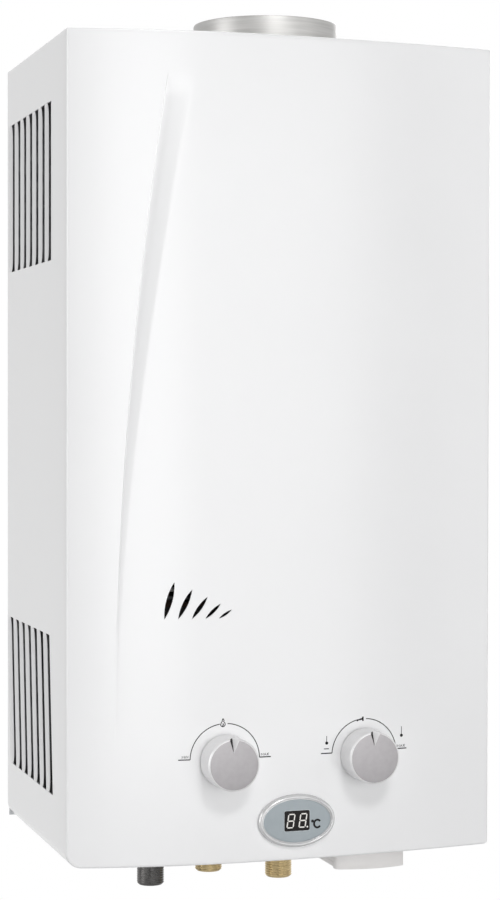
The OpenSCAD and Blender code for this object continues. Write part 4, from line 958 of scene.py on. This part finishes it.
@dataclass
class DialMarks:
    """Printed scales round the knobs: thin arcs with feet, and plain signs for gas and water."""

    line: float = 0.62
    radius: float = 25.0
    foot: float = 8.4
    foot_line: float = 0.75
    letter_line: float = 0.34
    low: float = -0.04
    high: float = 0.07
    step: float = 1.5
    prints: MeshMaker = field(default_factory=MeshMaker)

    def draw(self, path: Line, width: float) -> None:
        """Adds one printed line."""
        self.prints.ribbon(path, width, FACE.skin, self.low, self.high)

    def fill(self, outline: Line) -> None:
        """Adds one printed area."""
        self.prints.slab(outline, FACE.skin, self.low, self.high)

    def stroke(self, path: Line, width: float) -> None:
        """Adds one printed line, cut into short steps so that it follows the front.

        Args:
            path: Points of the line.
            width: Width of the line.
        """
        dense: list[Flat] = []
        for (ax, az), (bx, bz) in zip(path, path[1:]):
            n = max(1, int(hypot(bx - ax, bz - az) / self.step))
            dense += [(ax + (bx - ax) * i / n, az + (bz - az) * i / n) for i in range(n)]
        self.draw(dense + [path[-1]], width)

    def scale(self, centre: Flat, gap: Flat, ends: Flat) -> None:
        """Adds the two arcs of a scale with a foot at each outer end.

        Args:
            centre: Middle of the scale.
            gap: Angles of the gap at the top, right end first.
            ends: Angles of the right and the left end.
        """
        right = arc(centre, self.radius, ends[0], gap[0], 40)
        left = arc(centre, self.radius, gap[1], ends[1], 40)
        self.stroke(right, self.line)
        self.stroke(left, self.line)
        for (x, z), reach in ((right[0], self.foot), (left[-1], -self.foot)):
            self.stroke([(x, z), (x + reach, z)], self.foot_line)

    def word(self, letters: str, x: float, z: float, size: float) -> None:
        """Adds a small printed scale word in plain strokes.

        Args:
            letters: Letters of the word.
            x: Left end of the word.
            z: Foot of the word.
            size: Height of a letter.
        """
        for width, strokes in (LETTERS[letter] for letter in letters):
            for path in strokes:
                self.draw(moved(path, x, z, size), self.letter_line)
            x += width * size

    def thermometer(self, x: float, z: float, length: float) -> None:
        """Adds a thermometer sign: a filled bulb and a thin stem."""
        self.fill(arc((x, z), 1.15, 0, 340, 17))
        self.stroke([(x, z + 0.8), (x, z + length)], 0.45)

    def build(self) -> None:
        """Builds all prints as one piece."""
        self.scale((-47.9, -216.4), (86, 99), (1, 179))
        self.word("MIN", -78.6, -214.9, 1.7)
        self.word("MAX", -21.6, -214.9, 1.7)
        self.draw(moved(FLAME, -49.6, -191.4), self.line)
        self.draw(moved(CURL, -49.6, -191.4), 0.7)
        self.scale((WATER_X, KNOB_Z), (87, 101), (5, 176))
        self.word("MAX", 82.4, -214.3, 1.9)
        self.fill(moved(TAP, 53.8, -193.2))
        self.thermometer(27.5, -208.5, 5.0)
        self.stroke([(25.4, -212.6), (29.2, -212.6)], 0.6)
        self.thermometer(85.8, -206.0, 6.4)
        dress(self.prints.piece("dial_marks"), INK_AND_NOTCH_SHADE, Body.HEATER)


@dataclass
class Collar:
    """The flue collar on top: a turned tube with a shoulder at the casing and a fine rim."""

    x: float = 14.0
    y: float = -125.0
    outer: float = 54.0
    neck: float = 53.4

    def skin(self, a: float, b: float, h: float) -> Point:
        """Point at a place across the collar and a height."""
        return self.x + a, self.y + b, h

    def build(self) -> None:
        """Builds the collar and dresses it."""
        r, n = self.outer, self.neck
        profile = [(n - 1, 262.0), (r + 5.8, 262.0), (r + 6, 262.2), (r + 6, 262.8), (r + 5.8, 263.0),
                   (n + 0.6, 263.0), (n, 263.6), (n, 289.6), (r - 0.1, 290.0), (r, 290.3), (r, 312.4),
                   (r - 0.06, 312.8), (r - 0.2, 313.0), (r - 0.8, 313.0), (r - 0.94, 312.8), (r - 1, 312.4),
                   (r - 1, 291.2), (n - 1, 290.6)]
        collar = MeshMaker().turned(profile, self.skin, 160).piece("collar")
        dress(collar, BRUSHED_ZINC, Body.HEATER, "flue_collar")


@dataclass
class ThreadedEnd:
    """A pipe end with a rolled half-inch thread, a chamfered mouth and a plain shank."""

    name: str
    node: str
    finish: Finish
    x: float
    end: float
    y: float = -60.0
    major: float = 10.4775
    shank: float = 10.0775
    bore: float = 7.5
    pitch: float = 1.814
    depth: float = 0.5
    stop: float = -291.0
    seat: float = -262.0
    steps: int = 48

    def build(self) -> None:
        """Builds the pipe end and dresses it."""
        rows = []
        for z in spread(self.end, self.stop, int((self.stop - self.end) / self.pitch * 8)):
            row = []
            fade = min(1.0, max(0.0, (self.stop - 9.0 - z) / 4.0))
            for t in spread(0, tau, self.steps)[:-1]:
                tooth = abs(2 * ((z / self.pitch + t / tau) % 1.0) - 1)
                tooth = min(max((tooth - 0.12) / 0.76, 0.0), 1.0)
                r = min(self.major - self.depth * tooth * fade, self.major - 1.5 + z - self.end)
                row.append((self.x + r * cos(t), self.y + r * sin(t), z))
            rows.append(row)
        for r, z in ((self.major, -290.5), (self.shank, -290.4), (self.shank, self.seat),
                     (self.bore, self.seat), (self.bore, self.end + 0.8), (self.bore + 0.8, self.end)):
            rows.append([(a, b, z) for a, b in oval((self.x, self.y), (r, r), self.steps)])
        made = MeshMaker().grid(rows, wrap=True, loop=True).piece(self.name, 40)
        dress(made, self.finish, Body.HEATER, self.node)


@dataclass
class DoorFront:
    """The curved front of the battery door: a lipped wall that follows the box and turns round its ends."""

    middle: float = 73.3
    half_w: float = 24.75
    front: float = -197.0
    crown_r: float = 75.0
    low: float = -306.7
    high: float = -292.4
    shelf: float = -303.5
    bite: float = 0.6
    wall: float = 1.4
    gap: float = 0.35
    turn_r: float = 3.4
    reach: float = 6.5

    def plan(self, off: float) -> list[Flat]:
        """Line of the wall in plan, from its left end round the front to its right end.

        Args:
            off: How far the line lies outside the box.

        Returns:
            Points of the line.
        """
        r, side = self.crown_r + off, self.half_w + off
        half = [(x, self.front + self.crown_r - sqrt(r * r - x * x))
                for x in spread(0, side - self.turn_r, 14)]
        x, y = half[-1]
        start = asin(x / r)
        half += [(side - self.turn_r + self.turn_r * sin(a), y + self.turn_r * (1 - cos(a)))
                 for a in spread(start, pi / 2, 8)[1:]]
        half.append((side, y + self.reach))
        return [(self.middle - x, y) for x, y in reversed(half[1:])] + [(self.middle + x, y) for x, y in half]

    def build(self) -> None:
        """Builds the wall with softened edges and dresses it."""
        o, w = self.gap, self.gap + self.wall
        low, high, bite = self.low, self.high, self.bite
        section = [(o, self.shelf), (-bite, self.shelf), (-bite, low + 0.3), (0.3 - bite, low),
                   (w - 0.5, low), (w - 0.12, low + 0.18), (w, low + 0.6), (w, high - 0.6),
                   (w - 0.12, high - 0.18), (w - 0.5, high), (o + 0.3, high), (o, high - 0.3)]
        lines = [[(x, y, z) for x, y in self.plan(off)] for off, z in section]
        wall = MeshMaker().tube([list(ring) for ring in zip(*lines)]).piece("battery_door_front", 35)
        dress(wall, WARM, Body.DOOR)


@dataclass
class CoverScrews:
    """The two cover screws, with domed heads and cross recesses."""

    places: Flat = SCREW_X
    inset: float = SCREW_INSET
    recess_half: float = 0.42

    def build(self) -> None:
        """Builds both screws as one piece and dresses it."""
        maker, cross, half = MeshMaker(), MeshMaker(), self.recess_half
        for x in self.places:
            y = FACE.y(x) + self.inset

            def skin(a: float, b: float, h: float, x: float = x, y: float = y) -> Point:
                """Point at a place across this screw and a height below the cover."""
                return x + a, y + b, FACE.bottom - h

            maker.turned([(0.02, 2.0), (1.6, 1.96), (3.0, 1.65), (3.7, 1.1), (4.0, 0.4), (4.0, 0.0),
                          (1.95, 0.0), (1.95, -7.4), (1.2, -9.0), (0.02, -9.0)], skin, 48)
            for turn in (0.0, pi / 2):
                c, s = cos(turn), sin(turn)
                cross.tube([[skin(c * a - s * b, s * a + c * b, h) for a, b in
                             ((-reach, -half), (reach, -half), (reach, half), (-reach, half))]
                            for h, reach in ((0.7 + turn * 0.01, 1.2), (2.6, 2.3))])
        screws = cut(maker.piece("screws"), cross.piece("recess"))
        dress(shade(screws, 30), PLATED, Body.HEATER, "cover_screws")


LAMPS = (("key", (-0.05, -1.9, 1.35), (0.0, -0.2, -0.1), (0.6, 0.5), 15.2),
         ("front", (-0.2, -2.5, 0.06), (0.0, -0.2, 0.0), (0.75, 1.4), 12.0),
         ("beside", (0.72, -2.4, 0.06), (0.0, -0.2, 0.0), (0.95, 1.4), 8.9),
         ("left", (-2.0, -0.3, 0.2), (-0.15, -0.12, 0.0), (0.9, 1.4), 15.0),
         ("right", (1.8, -1.7, 0.2), (0.1, -0.2, 0.0), (0.8, 1.4), 3.7),
         ("back", (1.5, 2.1, 0.9), (0.0, -0.05, 0.0), (1.4, 1.4), 26.0),
         ("above", (0.1, 0.5, 1.9), (0.0, -0.1, 0.3), (1.2, 1.0), 9.0))


@dataclass
class Studio:
    """Camera, pale floor, soft lamps and a white surround."""

    camera_at: Point = (-0.4864, -1.7185, 0.0288)
    yaw: float = 17.05
    pitch: float = -1.078
    roll: float = 0.099
    lens: float = 89.08
    fill: float = 0.1
    floor_z: float = -0.78
    floor_r: float = 1.25
    floor_at: Flat = (14.0, -110.0)

    def camera(self) -> None:
        """Camera at the photograph's place."""
        data = bpy.data.cameras.new("camera")
        data.sensor_fit = "VERTICAL"
        data.sensor_height = 36.0
        data.lens = self.lens
        data.clip_end = 50.0
        made = bpy.data.objects.new("camera", data)
        bpy.context.scene.collection.objects.link(made)
        yaw, pitch, roll = (radians(a) for a in (self.yaw, self.pitch, self.roll))
        ahead = Vector((sin(yaw) * cos(pitch), cos(yaw) * cos(pitch), sin(pitch)))
        right = Vector((cos(yaw), -sin(yaw), 0.0))
        up = right.cross(ahead)
        right, up = cos(roll) * right + sin(roll) * up, cos(roll) * up - sin(roll) * right
        turn = Matrix((right, up, -ahead)).transposed()
        made.matrix_world = Matrix.Translation(self.camera_at) @ turn.to_4x4()
        bpy.context.scene.camera = made

    def lamp(self, name: str, at: Point, aim: Point, size: Flat, power: float) -> None:
        """Adds a soft rectangular lamp.

        Args:
            name: Name of the lamp.
            at: Place of the lamp in metres.
            aim: Place it points at.
            size: Width and height in metres.
            power: Power in watts.
        """
        data = bpy.data.lights.new(name, "AREA")
        data.shape = "RECTANGLE"
        data.size, data.size_y = size
        data.energy = power
        made = bpy.data.objects.new(name, data)
        made.location = at
        made.rotation_euler = (Vector(aim) - Vector(at)).to_track_quat("-Z", "Y").to_euler()
        made.visible_camera = False
        bpy.context.scene.collection.objects.link(made)

    def surround(self) -> None:
        """White surround for the camera and for reflections, and a softer fill for the rest."""
        world = bpy.data.worlds.new("surround")
        world.use_nodes = True
        bpy.context.scene.world = world
        nodes, link = world.node_tree.nodes, world.node_tree.links.new
        backdrop = settle(nodes["Background"], {"Color": (1.0, 1.0, 1.0, 1.0)})
        rays = nodes.new("ShaderNodeLightPath")
        seen = rays.outputs["Is Camera Ray"]
        for kind in ("Is Glossy Ray", "Is Transmission Ray"):
            either = nodes.new("ShaderNodeMath")
            either.operation = "MAXIMUM"
            link(seen, either.inputs[0])
            link(rays.outputs[kind], either.inputs[1])
            seen = either.outputs[0]
        level = settle(nodes.new("ShaderNodeMapRange"), {"To Min": self.fill, "To Max": 1.0})
        link(seen, level.inputs["Value"])
        link(level.outputs["Result"], backdrop.inputs["Strength"])

    def floor(self) -> None:
        """Pale floor disc with a soft dished rim."""
        r, z = self.floor_r / MM, self.floor_z / MM
        profile = [(1.0, z), (r * 0.5, z), (r * 0.97, z), (r, z + 6), (r, z - 8), (1.0, z - 8)]
        x, y = self.floor_at
        floor = MeshMaker().turned(profile, lambda a, b, h: (x + a, y + b, h)).piece("studio_floor")
        floor.data.materials.append(FLOOR.material())

    def build(self) -> None:
        """Builds the studio."""
        bpy.context.scene.view_settings.view_transform = "Standard"
        self.camera()
        self.surround()
        self.floor()
        for lamp in LAMPS:
            self.lamp(*lamp)


def dress_nodes() -> None:
    """Gives every node of the frame the finish of its slot, and the nodes inside the casing near-black copies
    as painted shade.
    """
    finishes = {finish.slot: finish for finish in NODE_FINISHES}
    for part in frame["record"]["subparts"]:
        shown = frame["nodes"][part["node"]]
        finish = PAINTED_SHADE_NODES.get(part["node"], finishes[part["material_slot"]])
        material = finish.material()
        if shown.material_slots:
            for place in shown.material_slots:
                place.material = material
        else:
            shown.data.materials.append(material)
        log.info("%s: finish %s", part["node"], part["material_slot"])


def main() -> None:
    """Builds the studio and dresses the heater piece by piece."""
    logging.basicConfig(level=logging.INFO, format="%(name)s %(message)s")
    Studio().build()
    dress_nodes()
    Cover().build()
    Knob("gas_knob_turned", "gas_knob", Body.GAS, GAS_X, -231.6).build()
    Knob("water_knob_turned", "water_knob", Body.WATER, WATER_X, -229.4).build()
    Display().build()
    DialMarks().build()
    Collar().build()
    ThreadedEnd("gas_end", "gas_nipple", DARK_STEEL, -57.5, -338.0).build()
    ThreadedEnd("hot_end", "hot_nipple", BRASS, -11.0, -330.0).build()
    ThreadedEnd("cold_end", "cold_nipple", BRASS, 46.0, -338.0).build()
    DoorFront().build()
    CoverScrews().build()


if __name__ == "__main__":
    main()
